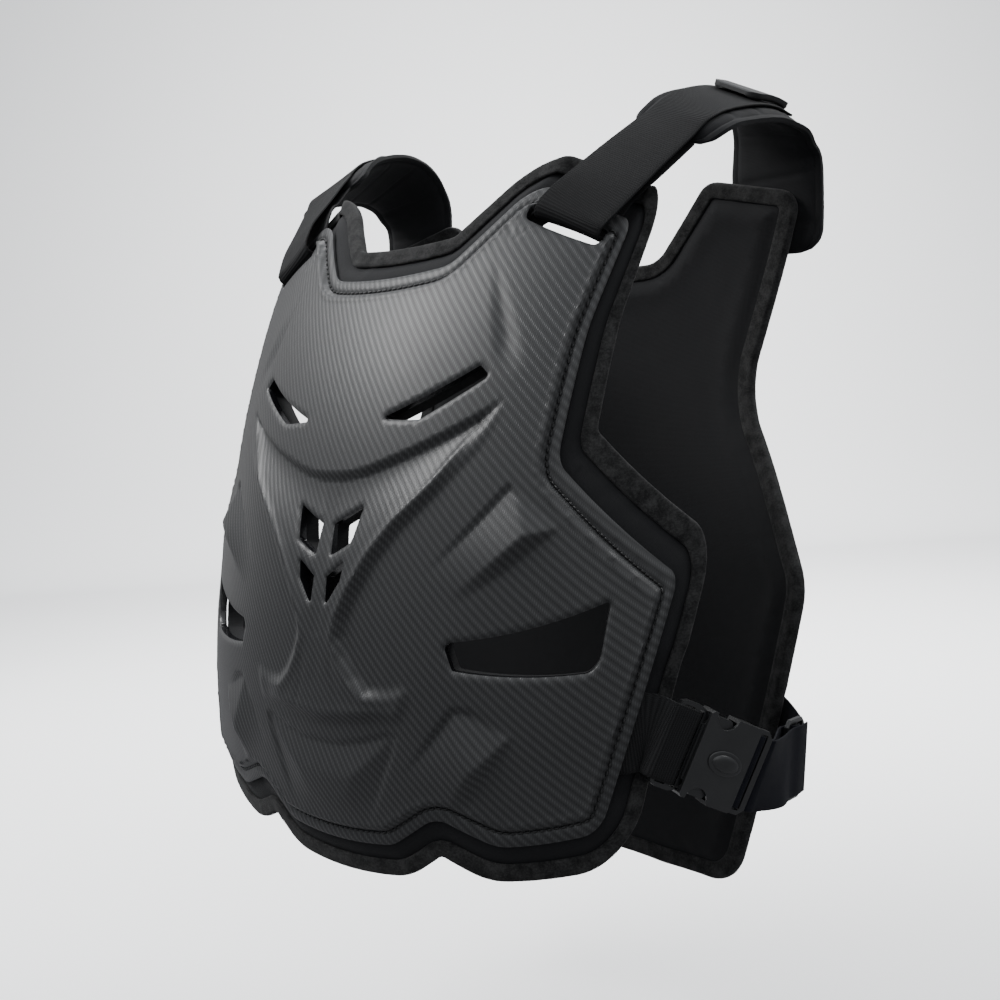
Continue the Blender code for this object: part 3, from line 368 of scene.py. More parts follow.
def distance_to(points, line, closed=True):
    nearest = np.full(len(points), np.inf)
    ends = np.roll(line, -1, 0) if closed else line[1:]
    for a, b in zip(line, ends):
        edge = b - a
        share = np.clip(((points - a) @ edge) / max(edge @ edge, 1e-18), 0.0, 1.0)
        nearest = np.minimum(nearest, np.linalg.norm(points - a - share[:, None] * edge, axis=1))
    return nearest


def distance_in(points, ring):
    """Distance from a ring's line, positive inside it."""
    return np.where(inside(points, ring), 1.0, -1.0) * distance_to(points, ring)


print("depth in a strip 2 wide",
      distance_in(np.array([(5.0, 1.0)]), np.array([(0.0, 0.0), (10.0, 0.0), (10.0, 2.0), (0.0, 2.0)])))

# %% Outlines and holes
def slot_ring(side, margin=0.0):
    """Outline of a strap slot: two half circles joined by straight sides."""
    ends = [Vector((side * a * SHELL_HALF_WIDTH, b * SHELL_HEIGHT)) for a, b in SLOT_ENDS]
    along = (ends[1] - ends[0]).normalized()
    across = Vector((-along.y, along.x))
    line = []
    for end, way in ((ends[0], -1.0), (ends[1], 1.0)):
        for k in range(13):
            angle = math.pi * (k / 12 - 0.5)
            bend = along * math.cos(angle) + across * math.sin(angle)
            line.append(end + bend * (SLOT_HALF_WIDTH + margin) * way)
    return np.array([(p.x, p.y) for p in line])


OUTLINE_STEP = 0.0025


def shell_outline(margin=0.0, step=OUTLINE_STEP):
    corners = mirrored_ring(sized(SHELL_CORNERS, SHELL_HALF_WIDTH, SHELL_HEIGHT))
    return rounded(widened(corners, margin), step)


def back_outline(margin=0.0, step=OUTLINE_STEP):
    corners = mirrored_ring(sized(BACK_CORNERS, BACK_HALF_WIDTH, BACK_HEIGHT))
    return rounded(widened(corners, margin), step)


def shell_holes(margin=0.0, step=OUTLINE_STEP):
    holes = []
    for side in (LEFT, RIGHT):
        for rows in (WINDOW_CORNERS, SLIT_CORNERS, UPPER_LOUVRE_CORNERS, LOWER_LOUVRE_CORNERS):
            corners = widened(sized(rows, SHELL_HALF_WIDTH, SHELL_HEIGHT), margin)
            holes.append(rounded([(side * a, b, r) for a, b, r in corners], step))
        holes.append(even_ring(slot_ring(side, margin), step))
    return holes


print("points on the shell's outline", len(shell_outline()))

# %% [markdown]
# From a flat sheet to a piece
# Each sheet is filled with rows of points set like bricks. Extruding it gives the second face and
# the walls in one step, and only then are both faces carried onto the torso. A UV layer keeps the
# flat coordinates, which every weave and emboss follows.

# %% Flat sheet
def flat_sheet(outline, holes, creases, spacing):
    """A flat mesh that fills an outline round its holes, with rows of points and crease lines."""
    points, edges = [], []
    for ring in [outline] + holes + creases:
        first = len(points)
        points += [Vector(p) for p in ring]
        edges += [(first + i, first + (i + 1) % len(ring)) for i in range(len(ring))]
    low, high = outline.min(0), outline.max(0)
    spots = []
    for number, row in enumerate(np.arange(low[1] + spacing / 2, high[1], spacing * 0.87)):
        columns = np.arange(0.0, high[0], spacing) + (0.5 * spacing if number % 2 else 0.0)
        spots += [(c, row) for c in columns] + [(-c, row) for c in columns if c > 0]
    spots = np.array(spots)
    keep = inside(spots, outline)
    for ring in [outline] + holes + creases:
        keep &= distance_to(spots, ring[::2]) > 0.45 * spacing
    for ring in holes:
        keep &= ~inside(spots, ring)
    points += [Vector(p) for p in spots[keep]]
    found, _, faces, _, _, _ = delaunay_2d_cdt(points, edges, [], 1, 1e-7)
    flat = np.array([(p.x, p.y) for p in found])
    centres = np.array([flat[list(f)].mean(0) for f in faces])
    wanted = inside(centres, outline)
    for ring in holes:
        wanted &= ~inside(centres, ring)
    shape = bmesh.new()
    corners = [shape.verts.new((x, y, 0.0)) for x, y in flat]
    for face, good in zip(faces, wanted):
        if good:
            shape.faces.new([corners[i] for i in face])
    loose = [v for v in shape.verts if not v.link_faces]
    bmesh.ops.delete(shape, geom=loose, context="VERTS")
    return shape


print("flat sheets are filled round their holes")

# %% Second face and torso form
def lay_cloth(shape, spots):
    """Keep each vertex's flat coordinates in a UV layer."""
    cloth = shape.loops.layers.uv.new("cloth")
    for face in shape.faces:
        for loop in face.loops:
            loop[cloth].uv = spots[loop.vert.index]


def thickened(shape, surface, top, bottom, holes_to=None):
    """Extrude a flat sheet, then carry both layers onto the form. top and bottom give lifts.

    Faces on top keep material 0, walls of holes and the underside take 1 and 2.
    """
    made = bmesh.ops.extrude_face_region(shape, geom=shape.faces[:])
    raised = {v for v in made["geom"] if isinstance(v, bmesh.types.BMVert)}
    shape.verts.index_update()
    flat = np.array([v.co[:2] for v in shape.verts])
    is_top = np.array([v in raised for v in shape.verts])
    lift = np.where(is_top, top(flat), bottom(flat))
    place = on_form(surface, flat, lift)
    for face in shape.faces:
        tops = sum(v in raised for v in face.verts)
        wall = 0 < tops < len(face.verts)
        face.material_index = 0 if tops == len(face.verts) else 2
        if wall:
            near_hole = holes_to is not None and holes_to[face.verts[0].index]
            face.material_index = 1 if near_hole else 0
    lay_cloth(shape, flat)
    for vertex, spot in zip(shape.verts, place):
        vertex.co = spot
    bmesh.ops.recalc_face_normals(shape, faces=shape.faces)
    return shape


print("sheets are extruded and carried onto the torso")

# %% Named pieces
def add_piece(name, shape, finishes, stands_for=(), sharp=0.7):
    """Turn a bmesh into a named piece that rides on the frame."""
    mesh = bpy.data.meshes.new(name)
    shape.to_mesh(mesh)
    shape.free()
    mesh.shade_smooth()
    if sharp:
        mesh.set_sharp_from_angle(angle=sharp)
    for finish in finishes:
        mesh.materials.append(finish)
    made = bpy.data.objects.new(name, mesh)
    bpy.context.scene.collection.objects.link(made)
    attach(made, "root")
    if stands_for:
        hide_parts(*stands_for)
    print(name, "faces", len(mesh.polygons))
    return made


print("pieces will ride on", len(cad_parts), "solids of the frame")

# %% [markdown]
# Writing finishes
# A finish is a Principled shader with a pattern behind it. Wiring maths nodes one by one hides what
# a pattern is, so a small class wraps a socket and lets Python's operators add the nodes. Uniform
# values go straight onto the shader's own sockets.

# %% Maths on patterns
class Value:
    """A number that varies over a surface. Operators on it add Math nodes."""

    def __init__(self, finish, socket):
        self.finish, self.socket = finish, socket

    def maths(self, operation, *others):
        return Value(self.finish, self.finish.node("ShaderNodeMath", {"operation": operation},
                                                   [self.socket, *others]).outputs[0])

    def __add__(self, other):
        return self.maths("ADD", other)

    def __mul__(self, other):
        return self.maths("MULTIPLY", other)

    __radd__, __rmul__ = __add__, __mul__

    def __sub__(self, other):
        return self.maths("SUBTRACT", other)

    def __rsub__(self, other):
        return (self * -1.0) + other

    def __truediv__(self, other):
        return self.maths("DIVIDE", other)

    def size(self):
        return self.maths("ABSOLUTE")

    def least(self, other):
        return self.maths("MINIMUM", other)

    def wave(self):
        """0 at whole numbers, 1 half way between them."""
        return 1.0 - (self.maths("FRACT") * 2.0 - 1.0).size()

    def step(self, low, high):
        """Smooth change from 0 at low to 1 at high."""
        made = self.finish.node("ShaderNodeMapRange", {"interpolation_type": "SMOOTHSTEP"},
                                {"Value": self.socket, "From Min": low, "From Max": high})
        return Value(self.finish, made.outputs["Result"])


print("patterns can be added, subtracted, multiplied and divided")

# %% Finishes from patterns
class Finish:
    """A material of one Principled shader."""

    def __init__(self, name, **sockets):
        self.material = bpy.data.materials.new(name)
        self.material.use_nodes = True
        self.tree = self.material.node_tree
        self.shader = self.tree.nodes["Principled BSDF"]
        for socket, value in sockets.items():
            self.shader.inputs[socket.replace("_", " ")].default_value = value

    def node(self, kind, settings=None, inputs=()):
        """Add a node of a kind; settings come first, then the values or links of its sockets."""
        made = self.tree.nodes.new(kind)
        for setting, value in (settings or {}).items():
            setattr(made, setting, value)
        pairs = inputs.items() if isinstance(inputs, dict) else enumerate(inputs)
        for socket, value in pairs:
            value = value.socket if isinstance(value, Value) else value
            if isinstance(value, bpy.types.NodeSocket):
                self.tree.links.new(value, made.inputs[socket])
            else:
                made.inputs[socket].default_value = value
        return made

    def cloth_axes(self):
        """Across and along on a cut piece of cloth, in mm, from its flat coordinates."""
        place = self.node("ShaderNodeUVMap", {"uv_map": "cloth"})
        axes = self.node("ShaderNodeSeparateXYZ", {}, [place.outputs["UV"]])
        return [Value(self, axes.outputs[k]) * 1000.0 for k in ("X", "Y")]

    def speckle(self, scale, detail=2.0, roughness=0.5, stretch=(1.0, 1.0, 1.0)):
        """Even noise, about 0.5, with scale cells to the metre."""
        place = self.node("ShaderNodeTexCoord")
        stretched = self.node("ShaderNodeMapping", {},
                              {"Vector": place.outputs["Object"], "Scale": stretch})
        made = self.node("ShaderNodeTexNoise", {},
                         {"Vector": stretched.outputs["Vector"], "Scale": scale,
                          "Detail": detail, "Roughness": roughness})
        return Value(self, made.outputs["Fac"])

    def link(self, socket, value):
        value = value.socket if isinstance(value, Value) else value
        self.tree.links.new(value, self.shader.inputs[socket])

    def colour(self, factor, low, high):
        """Base Color from low to high, as factor goes from 0 to 1."""
        made = self.node("ShaderNodeMix", {"data_type": "RGBA"},
                         {0: factor, 6: (*low, 1.0), 7: (*high, 1.0)})
        self.link("Base Color", made.outputs[2])

    def relief(self, height, depth, strength=1.0):
        """Bump from a height of 0 to 1, depth in mm."""
        made = self.node("ShaderNodeBump", {}, {"Height": height, "Strength": strength,
                                                "Distance": depth * MM})
        self.link("Normal", made.outputs["Normal"])


print("helpers for finishes ready")

# %% [markdown]
# Carbon-look vinyl
# The shell is covered by a dark grey vinyl embossed like a twill: round diagonal ribs about 4 mm
# apart, each crossed by short threads. It is no real fabric, so the pattern follows the flat
# sheet's own coordinates wherever the moulding bends it. The ribs catch the light on one side,
# which is why they look striped, and the colour paints that in as well: a painted highlight on
# each rib's crest and painted shade in the troughs between ribs.

# %% Carbon-look vinyl
TWILL_ANGLE = math.radians(-53.0)   # of the ribs on the flat sheet
TWILL_PITCH = 3.7                   # mm
THREAD_PITCH = 2.0


def twill_height(finish):
    across, up = finish.cloth_axes()
    off = (across * -math.sin(TWILL_ANGLE) + up * math.cos(TWILL_ANGLE)) / TWILL_PITCH
    along = (across * math.cos(TWILL_ANGLE) + up * math.sin(TWILL_ANGLE)) / THREAD_PITCH
    wander = finish.speckle(60.0) - 0.5
    rib = (off + wander * 0.10).wave()
    thread = (along + off * 1.6).wave()
    return rib, thread


def make_carbon():
    finish = Finish("carbon_vinyl", Roughness=0.42, Specular_IOR_Level=0.42)
    rib, thread = twill_height(finish)
    beat = thread.step(0.30, 0.70)
    # The crest mask puts a painted highlight into the colour and the trough mask puts painted shade into it;
    # both masks also shape the bump.
    rib_crest_and_painted_highlight = rib.step(0.45, 0.90) * (beat * 0.85 + 0.15)
    rib_trough_and_painted_shade = (1.0 - rib).step(0.55, 0.95) * (1.0 - beat * 0.7)
    height = rib_crest_and_painted_highlight * 0.6 - rib_trough_and_painted_shade * 0.4
    twill_tone_with_painted_light = rib_crest_and_painted_highlight * 0.70 - rib_trough_and_painted_shade * 0.42 + 0.40
    blotch = finish.speckle(14.0, 3.0)
    # Base Color: painted highlight on the rib crests and painted shade in the troughs, with random blotches
    # of tone.
    finish.colour(twill_tone_with_painted_light * 0.85 + blotch * 0.15, (0.0045, 0.0047, 0.0050), (0.0430, 0.0435, 0.0446))
    finish.link("Roughness", 0.50 - rib * 0.12 + (blotch - 0.5) * 0.10)
    finish.relief(height, 0.12)
    return finish.material


CARBON = make_carbon()


def make_lining():
    finish = Finish("sealed_edge", Base_Color=(0.006, 0.006, 0.007, 1.0), Roughness=0.22)
    finish.relief(finish.speckle(420.0, 2.0), 0.10)
    finish.link("Roughness", finish.speckle(90.0) * 0.15 + 0.14)
    return finish.material


def make_foam():
    finish = Finish("shell_backing", Roughness=0.9)
    grain = finish.speckle(900.0, 2.0)
    finish.colour(grain, (0.010, 0.010, 0.011), (0.024, 0.024, 0.026))
    finish.relief(grain, 0.15)
    return finish.material


LINING, FOAM = make_lining(), make_foam()
print("finishes", CARBON.name, LINING.name, FOAM.name)

# %% [markdown]
# The moulded shell
# The shell is a 2.6 mm flange sewn down all round, with a raised panel inside it. On the panel lie
# a chest plate that ends in a V, an hourglass spine with two wings under it, two slanting ribs on
# each flank and a belly pad. Sculpting these by hand would not stay symmetric, so each is a height
# on the flat sheet, worked out from the distance to its outline, and the halves mirror each other.

# %% Lines of the moulded forms
PANEL_RISE = 0.003
SHELL_WALL = 0.0026
STITCH_INSET = 0.0078
WING_LOW = 0.0034                   # the wing's upper side under the chest plate
WING_HIGH = 0.0038                  # its lower ridge over the flank
SCALE_CUT = 0.0022


CHEST_LINE = np.array(mirrored_ring((
    (-116, 267), (-100, 261.5), (-75, 256), (-47, 250), (-25, 245), (-9, 243.2)))) * MM
HOURGLASS = np.array((
    (0, 300), (60, 300), (112, 285), (114, 272), (113, 262), (109, 251), (101, 240), (80, 224), (57, 207),
    (42, 191), (29, 172), (22, 158), (20, 148), (23, 138), (30, 126), (38, 118), (50, 116.5), (62, 117),
    (66, 114), (65, 106), (61, 97.5), (56, 96), (40, 98.5), (20, 98), (0, 96.5))) * MM
UPPER_SCALE = ((121, 214), (79, 183), (154, 175), (105, 160))     # apex, left end, right end, foot
LOWER_SCALE = ((92, 100), (61, 69), (138, 82), (103, 46))
BELLY = np.array((
    (0, 86), (12, 86), (30, 88.5), (51, 92), (57, 89), (54, 78), (46, 62), (38, 44), (30, 30), (0, 26))) * MM
LEAF = np.array((
    (80, 366), (92, 346), (106, 320), (117, 296), (125, 279), (125, 272), (119, 270), (108, 278), (100, 292),
    (92, 318), (85, 344))) * MM


print("points of the hourglass, belly and leaf", len(HOURGLASS), len(BELLY), len(LEAF))

# %% Distances and blends
def unit(vector):
    vector = np.array(vector, float)
    return vector / np.linalg.norm(vector)


def folded_over(points):
    """Flat points with the wearer's right half laid over the left one."""
    return np.stack([np.abs(points[:, 0]), points[:, 1]], 1)


def bell(distance, width):
    """1 at no distance, then falling off to nothing about two widths away."""
    return np.exp(-(distance / width) ** 2)


def whole(half):
    """A closed line from its left half, whose first and last points lie on the middle line."""
    return np.vstack([half, half[-2:0:-1] * np.array([-1, 1])])


def beyond(folded, start, end):
    """Distance to the right of a straight line from start to end, both in mm."""
    way = unit((np.array(end) - np.array(start)) * MM)
    return (folded - np.array(start) * MM) @ np.array([way[1], -way[0]])


def lesser(a, b, blend):
    """Smaller of two heights, rounded where they meet."""
    share = np.clip(0.5 + 0.5 * (b - a) / blend, 0.0, 1.0)
    return b * (1.0 - share) + a * share - blend * share * (1.0 - share)


print("half way down a bell", round(bell(0.8326, 1.0), 3))

# %% Scales on the flanks
def scale_form(folded, corners, top_is_cut):
    """A form like a fish scale: cut in at its left edge, rising to a ridge, then a steep facet."""
    apex, left_end, right_end, foot = corners
    left, top = beyond(folded, left_end, apex), beyond(folded, apex, right_end)
    facet = beyond(folded, right_end, foot)
    cut = np.minimum(left, top) if top_is_cut else left
    height = -SCALE_CUT * smooth(cut / 0.0022) + 0.25 * np.maximum(cut - 0.001, 0.0)
    height = lesser(height, 0.62 * facet, 0.0006)
    if not top_is_cut:
        height = lesser(height, 0.55 * top, 0.0009)
    length = np.linalg.norm(np.array(left_end) - np.array(apex)) * MM
    down = (folded - np.array(apex) * MM) @ unit(np.array(left_end) - np.array(apex))
    fade = (1.0 - smooth((down / length - 0.30) / 0.85)) * smooth(down / 0.004 + 1.5)
    within = smooth(left / 0.0010) * smooth(top / 0.0010) * smooth(facet / 0.0010)
    return height * within * fade


print("height at a spot of the upper scale in mm",
      np.round(scale_form(np.array([(0.110, 0.190)]), UPPER_SCALE, False) / MM, 2))

# %% Flange, spine and wings
def flange(points):
    """The flange's soft edge, its seam groove and the step up to the panel."""
    edge = distance_in(points, shell_outline(step=0.006))
    height = PANEL_RISE * smooth((edge - 0.0088) / 0.0034)
    height -= 0.0012 * bell(edge - STITCH_INSET, 0.0012)
    height += 0.0006 * bell(edge - 0.0125, 0.0016)
    return height - 0.0008 * (1.0 - smooth(edge / 0.0016))


def wings(points, folded):
    """The hourglass spine and its wings, low under the chest plate and high over the flanks."""
    below = np.where(inside(points, np.vstack([CHEST_LINE, [(0.116, 0.5), (-0.116, 0.5)]])), -1.0, 1.0)
    drop = distance_to(points, CHEST_LINE, closed=False) * below
    rim = distance_in(points, whole(HOURGLASS))
    facet = 0.0062 + 0.0065 * smooth((np.abs(points[:, 0]) - 0.072) / 0.030)
    wing_edge = np.clip((rim + 0.0003) / facet, 0.0, 1.0)
    raised = -WING_LOW * smooth((drop + 0.0004) / 0.0030)
    share = np.maximum(drop, 0.0) / (np.maximum(drop, 0.0) + np.maximum(rim, 0.0) + 0.002)
    raised += (WING_LOW + WING_HIGH) * smooth(share * 1.15 - 0.12)
    # the ridge just inside the rim stands proudest
    ridge = bell(rim - facet - 0.0004, 0.0030) * smooth(drop / 0.02)
    raised += 0.0012 * ridge * (0.35 + 0.65 * smooth((points[:, 1] - 0.105) / 0.03))
    foot = smooth((0.126 - points[:, 1]) / 0.006) * smooth((folded[:, 0] - 0.034) / 0.020)
    return raised * wing_edge * (drop > -0.001) * (1.0 - 0.55 * foot)


print("flange height at its seam in mm", np.round(flange(shell_outline(-STITCH_INSET)[:1]) / MM, 2))

# %% Belly, leaves, arcs and lips
def belly_pad(points):
    """Cut in under the smile and rising below it."""
    rim = distance_in(points, whole(BELLY))
    belly = -0.0016 * smooth(rim / 0.0026) + 0.20 * np.clip(rim - 0.0012, 0.0, 0.021)
    return belly * smooth((points[:, 1] - 0.030) / 0.040)


def leaf_hollows(folded):
    """Hollow leaves beside the neckline."""
    ends = smooth((0.372 - folded[:, 1]) / 0.07) * smooth((folded[:, 1] - 0.274) / 0.030)
    return 0.0019 * smooth(distance_in(folded, LEAF) / 0.0075) * ends


def slot_arcs(folded):
    """Low arcs round the inner end of the strap slot."""
    end = np.array(sized(SLOT_ENDS, SHELL_HALF_WIDTH, SHELL_HEIGHT)[0])
    reach = np.linalg.norm(folded - end, axis=1)
    arcs = np.cos((reach - 0.0105) / 0.0030 * 2 * math.pi) * 0.00035
    band = smooth((reach - 0.0085) / 0.0015) * smooth((0.0175 - reach) / 0.0015)
    return arcs * band * (folded[:, 0] < end[0] + 0.004)


def spine_creases(folded):
    """Faint creases beside the louvres and down from the V."""
    depth = 0.0
    for line in (((16, 160), (12, 128), (19, 104)), ((9, 243), (4, 222), (2, 150))):
        depth += 0.0004 * bell(distance_to(folded, np.array(line) * MM, closed=False), 0.0012)
    return depth


def hole_lips(points):
    """How far the face rounds down at the holes."""
    lip = np.full(len(points), np.inf)
    for ring in shell_holes(step=0.006):
        lip = np.minimum(lip, distance_to(points, ring))
    return 0.0011 * (1.0 - smooth(lip / 0.0024)) ** 2


print("belly height in mm", np.round(belly_pad(np.array([(0.0, 0.055)])) / MM, 2))

# %% All heights together
def shell_top(points):
    """Lift of the shell's outer face: 0 on its panel, -PANEL_RISE on its flange."""
    folded = folded_over(points)
    height = flange(points) + wings(points, folded)
    height += scale_form(folded, UPPER_SCALE, False) + scale_form(folded, LOWER_SCALE, True)
    height += belly_pad(points) - leaf_hollows(folded) + slot_arcs(folded)
    return height - spine_creases(folded) - hole_lips(points) - PANEL_RISE


print("height of the spine's middle over the flange in mm",
      np.round((shell_top(np.array([[0.0, 0.2]]))[0] + PANEL_RISE) / MM, 2))

# %% The shell's sheet
def make_shell():
    outline = shell_outline()
    holes = shell_holes()
    creases = [shell_outline(-d) for d in (0.0008, 0.0018)]
    creases += [shell_outline(-STITCH_INSET - d) for d in (-0.0011, 0.0, 0.0011, 0.0030, 0.0056)]
    creases += [even_ring(ring, 0.0025) for ring in shell_holes(0.0009) + shell_holes(0.0022)]
    sheet = flat_sheet(outline, holes, creases, 0.0023)
    sheet.verts.ensure_lookup_table()
    flat = np.array([v.co[:2] for v in sheet.verts])
    at_hole = np.zeros(len(flat), bool)
    for ring in holes:
        at_hole |= distance_to(flat, ring) < 1e-5
    shape = thickened(sheet, chest_surface, shell_top,
                      lambda p: np.full(len(p), -PANEL_RISE - SHELL_WALL), np.tile(at_hole, 2))
    return add_piece("moulded_shell", shape, [CARBON, LINING, FOAM],
                     ["chest_shell"], sharp=0.9)


make_shell()

# %% [markdown]
# Lockstitching
# One black seam runs all round the shell, in the shallow groove of its flange. Thread lies in it
# as short beads with a gap between them, so every stitch is its own flattened ellipsoid, turned
# along the seam and seated on the moulded face.

# %% Stitches
STITCH_PITCH = 0.0043
THREAD_WIDTH = 0.0019
STITCH_LIFT = 0.45 * MM


def make_thread():
    finish = Finish("thread", Roughness=0.36)
    across, along = finish.cloth_axes()
    twist = (along * 1.6 + across * 1.6).wave()
    finish.colour(finish.speckle(300.0), (0.0010, 0.0010, 0.0012), (0.0050, 0.0050, 0.0055))
    finish.relief(twist * 0.6 + finish.speckle(1500.0) * 0.4, 0.12)
    return finish.material


THREAD = make_thread()


def bead():
    """Corners and faces of one round bead, to be stretched into a stitch."""
    shape = bmesh.new()
    bmesh.ops.create_uvsphere(shape, u_segments=8, v_segments=6, radius=1.0)
    corners = np.array([v.co for v in shape.verts])
    faces = [[v.index for v in face.verts] for face in shape.faces]
    shape.free()
    return corners, faces


def stitches(line, surface, lift):
    """Beads of thread along a closed flat line; lift(points) gives the face they lie on."""
    ring = even_ring(line, STITCH_PITCH)
    ahead = np.roll(ring, -1, 0) - ring
    middles = ring + ahead / 2
    for side in (LEFT, RIGHT):
        keep = distance_to(middles, slot_ring(side)) > 0.0015
        middles, ahead = middles[keep], ahead[keep]
    here = on_form(surface, middles, lift(middles) + STITCH_LIFT)
    onward = middles + ahead * 0.1
    x = on_form(surface, onward, lift(onward) + STITCH_LIFT) - here
    z = on_form(surface, middles, lift(middles) + 1.2 * MM) - here
    x /= np.linalg.norm(x, axis=1)[:, None]
    y = np.cross(z, x)
    y /= np.linalg.norm(y, axis=1)[:, None]
    z = np.cross(x, y)
    corners, faces = bead()
    reach = corners * np.array((0.45 * STITCH_PITCH, 0.5 * THREAD_WIDTH, 0.42 * THREAD_WIDTH))
    points = here[:, None] + np.einsum("kc,ncd->nkd", reach, np.stack([x, y, z], 1))
    mesh = bpy.data.meshes.new("beads")
    every = [[k * len(corners) + i for i in face] for k in range(len(here)) for face in faces]
    mesh.from_pydata(points.reshape(-1, 3).tolist(), [], every)
    shape = bmesh.new()
    shape.from_mesh(mesh)
    bpy.data.meshes.remove(mesh)
    lay_cloth(shape, np.tile(corners[:, [1, 0]] * (THREAD_WIDTH, STITCH_PITCH), (len(here), 1)))
    return shape


shell_seam = stitches(shell_outline(-STITCH_INSET), chest_surface, shell_top)
add_piece("shell_stitching", shell_seam, [THREAD], sharp=None)

# %% [markdown]
# Cloth finishes
# Pads are covered by a near-black knit. Edging is a brushed tape: mottled and slightly fuzzy, with
# one seam along its inner side. Webbing has fine ribs across it and a firm selvedge on both sides.
# Elastic is finer and very dark blue. All of them take the flat coordinates of their own piece, so
# threads keep their scale however the piece bends.

# %% Knit, edging, webbing and elastic
def make_knit():
    finish = Finish("pad_fabric", Roughness=0.82, Specular_IOR_Level=0.25,
                    Sheen_Weight=0.03, Sheen_Roughness=0.5)
    across, along = finish.cloth_axes()
    course = (along / 0.9).wave()
    wale = (across / 0.8 + (along / 1.8).wave() * 0.3).wave()
    loops = course * 0.4 + wale * 0.6
    blotch = finish.speckle(22.0, 3.0)
    finish.colour(loops * 0.5 + blotch * 0.5, (0.0022, 0.0023, 0.0028), (0.0085, 0.0087, 0.0100))
    finish.link("Roughness", 0.74 + blotch * 0.16)
    finish.relief(loops * 0.8 + finish.speckle(700.0) * 0.2, 0.16)
    return finish.material


def make_edging():
    finish = Finish("edging_tape", Roughness=0.92, Specular_IOR_Level=0.25,
                    Sheen_Weight=0.06, Sheen_Roughness=0.4)
    across, along = finish.cloth_axes()
    fuzz = finish.speckle(900.0, 4.0, 0.7, (1.0, 0.35, 1.0))
    mottle = finish.speckle(120.0, 3.0, 0.6)
    seam = 1.0 - ((across.size() - 6.6) / 0.55).size().least(1.0)
    thread = seam * (along / 3.2).wave().step(0.15, 0.5)
    weave = (along / 0.75).wave() * 0.5 + (across / 0.75).wave() * 0.5
    patches = (fuzz * 0.5 + mottle * 0.5).step(0.34, 0.68)
    finish.colour(patches, (0.0016, 0.0016, 0.0018), (0.0300, 0.0298, 0.0296))
    finish.link("Roughness", 0.84 + fuzz * 0.12)
    finish.relief(fuzz * 0.55 + weave * 0.25 - seam * 0.4 + thread * 0.6, 0.30)
    return finish.material


def make_webbing(name, low, high, pitch, half_width, depth):
    finish = Finish(name, Roughness=0.7, Specular_IOR_Level=0.14,
                    Sheen_Weight=0.015, Sheen_Roughness=0.4)
    across, along = finish.cloth_axes()
    border = across.size().step(half_width - 2.4, half_width - 1.8)
    row = (along / pitch + finish.speckle(90.0) * 0.25).wave()
    column = (across / 1.1 + (along / (2 * pitch)).wave().step(0.4, 0.6) * 0.5).wave()
    selvedge = ((along + across.size()) / 1.6).wave()
    ribs = row * 0.72 + column * 0.28
    height = ribs * (1.0 - border) + (selvedge * 0.5 + 0.1) * border
    soil = finish.speckle(35.0, 3.0)
    finish.colour(height * 0.7 + soil * 0.3, low, high)
    finish.link("Roughness", 0.62 + soil * 0.2)
    finish.relief(height, depth)
    return finish.material


KNIT, EDGING = make_knit(), make_edging()
WEBBING = make_webbing("webbing", (0.0014, 0.0014, 0.0016), (0.0190, 0.0190, 0.0198), 1.6, 22.5, 0.40)
ELASTIC = make_webbing("elastic", (0.0010, 0.0012, 0.0030), (0.0055, 0.0062, 0.0110), 0.8, 22.0, 0.16)
print("cloth finishes ready")

# %% [markdown]
# Pads
# Each pad is a foam sheet in cloth that thins towards its edge, where the edging folds round it.
# Under the straps the chest pad is pressed down. Foam makes the cloth roll up beside the edging
# and pucker along the seam, with soft uneven hollows over its face. All of it is a height added
# to the flat sheet, always inwards where the shell lies close.

# %% Measures of the pads and the press of straps
PAD_MARGIN = 0.021
PAD_TOP = -0.0066
PAD_THICKNESS = 0.010
PAD_EDGE = 0.0040
PAD_TAPER = 0.010
BINDING_WIDTH = 0.009
BACK_THICKNESS = 0.012
STRAP_PRESS = 0.0046
BACK_ANCHOR = 0.122                 # height of the elastic's seam on the back pad


def strap_way():
    """Flat direction in which the strap leaves its slot, square to it."""
    (a, b), (c, d) = SLOT_ENDS
    along = np.array([(c - a) * SHELL_HALF_WIDTH, (d - b) * SHELL_HEIGHT])
    along /= np.linalg.norm(along)
    return np.array([-along[1], along[0]])


def slot_middle():
    (a, b), (c, d) = SLOT_ENDS
    return np.array([(a + c) / 2 * SHELL_HALF_WIDTH, (b + d) / 2 * SHELL_HEIGHT])


def web_middle():
    return np.array([0.885 * SHELL_HALF_WIDTH, 0.090 * SHELL_HEIGHT])


def web_way():
    rows = sized(SHELL_CORNERS[5:7], SHELL_HALF_WIDTH, SHELL_HEIGHT)
    wing, foot = (np.array(row[:2]) for row in rows)
    edge = (wing - foot) / np.linalg.norm(wing - foot)
    return np.array([edge[1], -edge[0]])


def strap_press(points):
    """How far the straps that run under the shell press the chest pad down."""
    folded = folded_over(points)
    pressed = np.zeros(len(points))
    for start, way, half_width in ((slot_middle(), strap_way(), 0.040),
                                   (web_middle(), web_way(), 0.027)):
        offset = folded - start
        ahead = np.where(np.linalg.norm(offset, axis=1) < 0.080, offset @ way, -1.0)
        aside = np.abs(offset @ np.array([-way[1], way[0]]))
        pressed = np.maximum(pressed, smooth((half_width + 0.014 - aside) / 0.014)
                             * smooth((ahead + 0.036) / 0.014))
    return STRAP_PRESS * pressed


print("press under the strap in mm", np.round(strap_press(slot_middle()[None]) / MM, 2))

# %% Hollows and puckers
def uneven(places):
    """Smooth noise from -1 to 1 at each of some places."""
    return np.array([noise.noise(Vector(place)) for place in places])


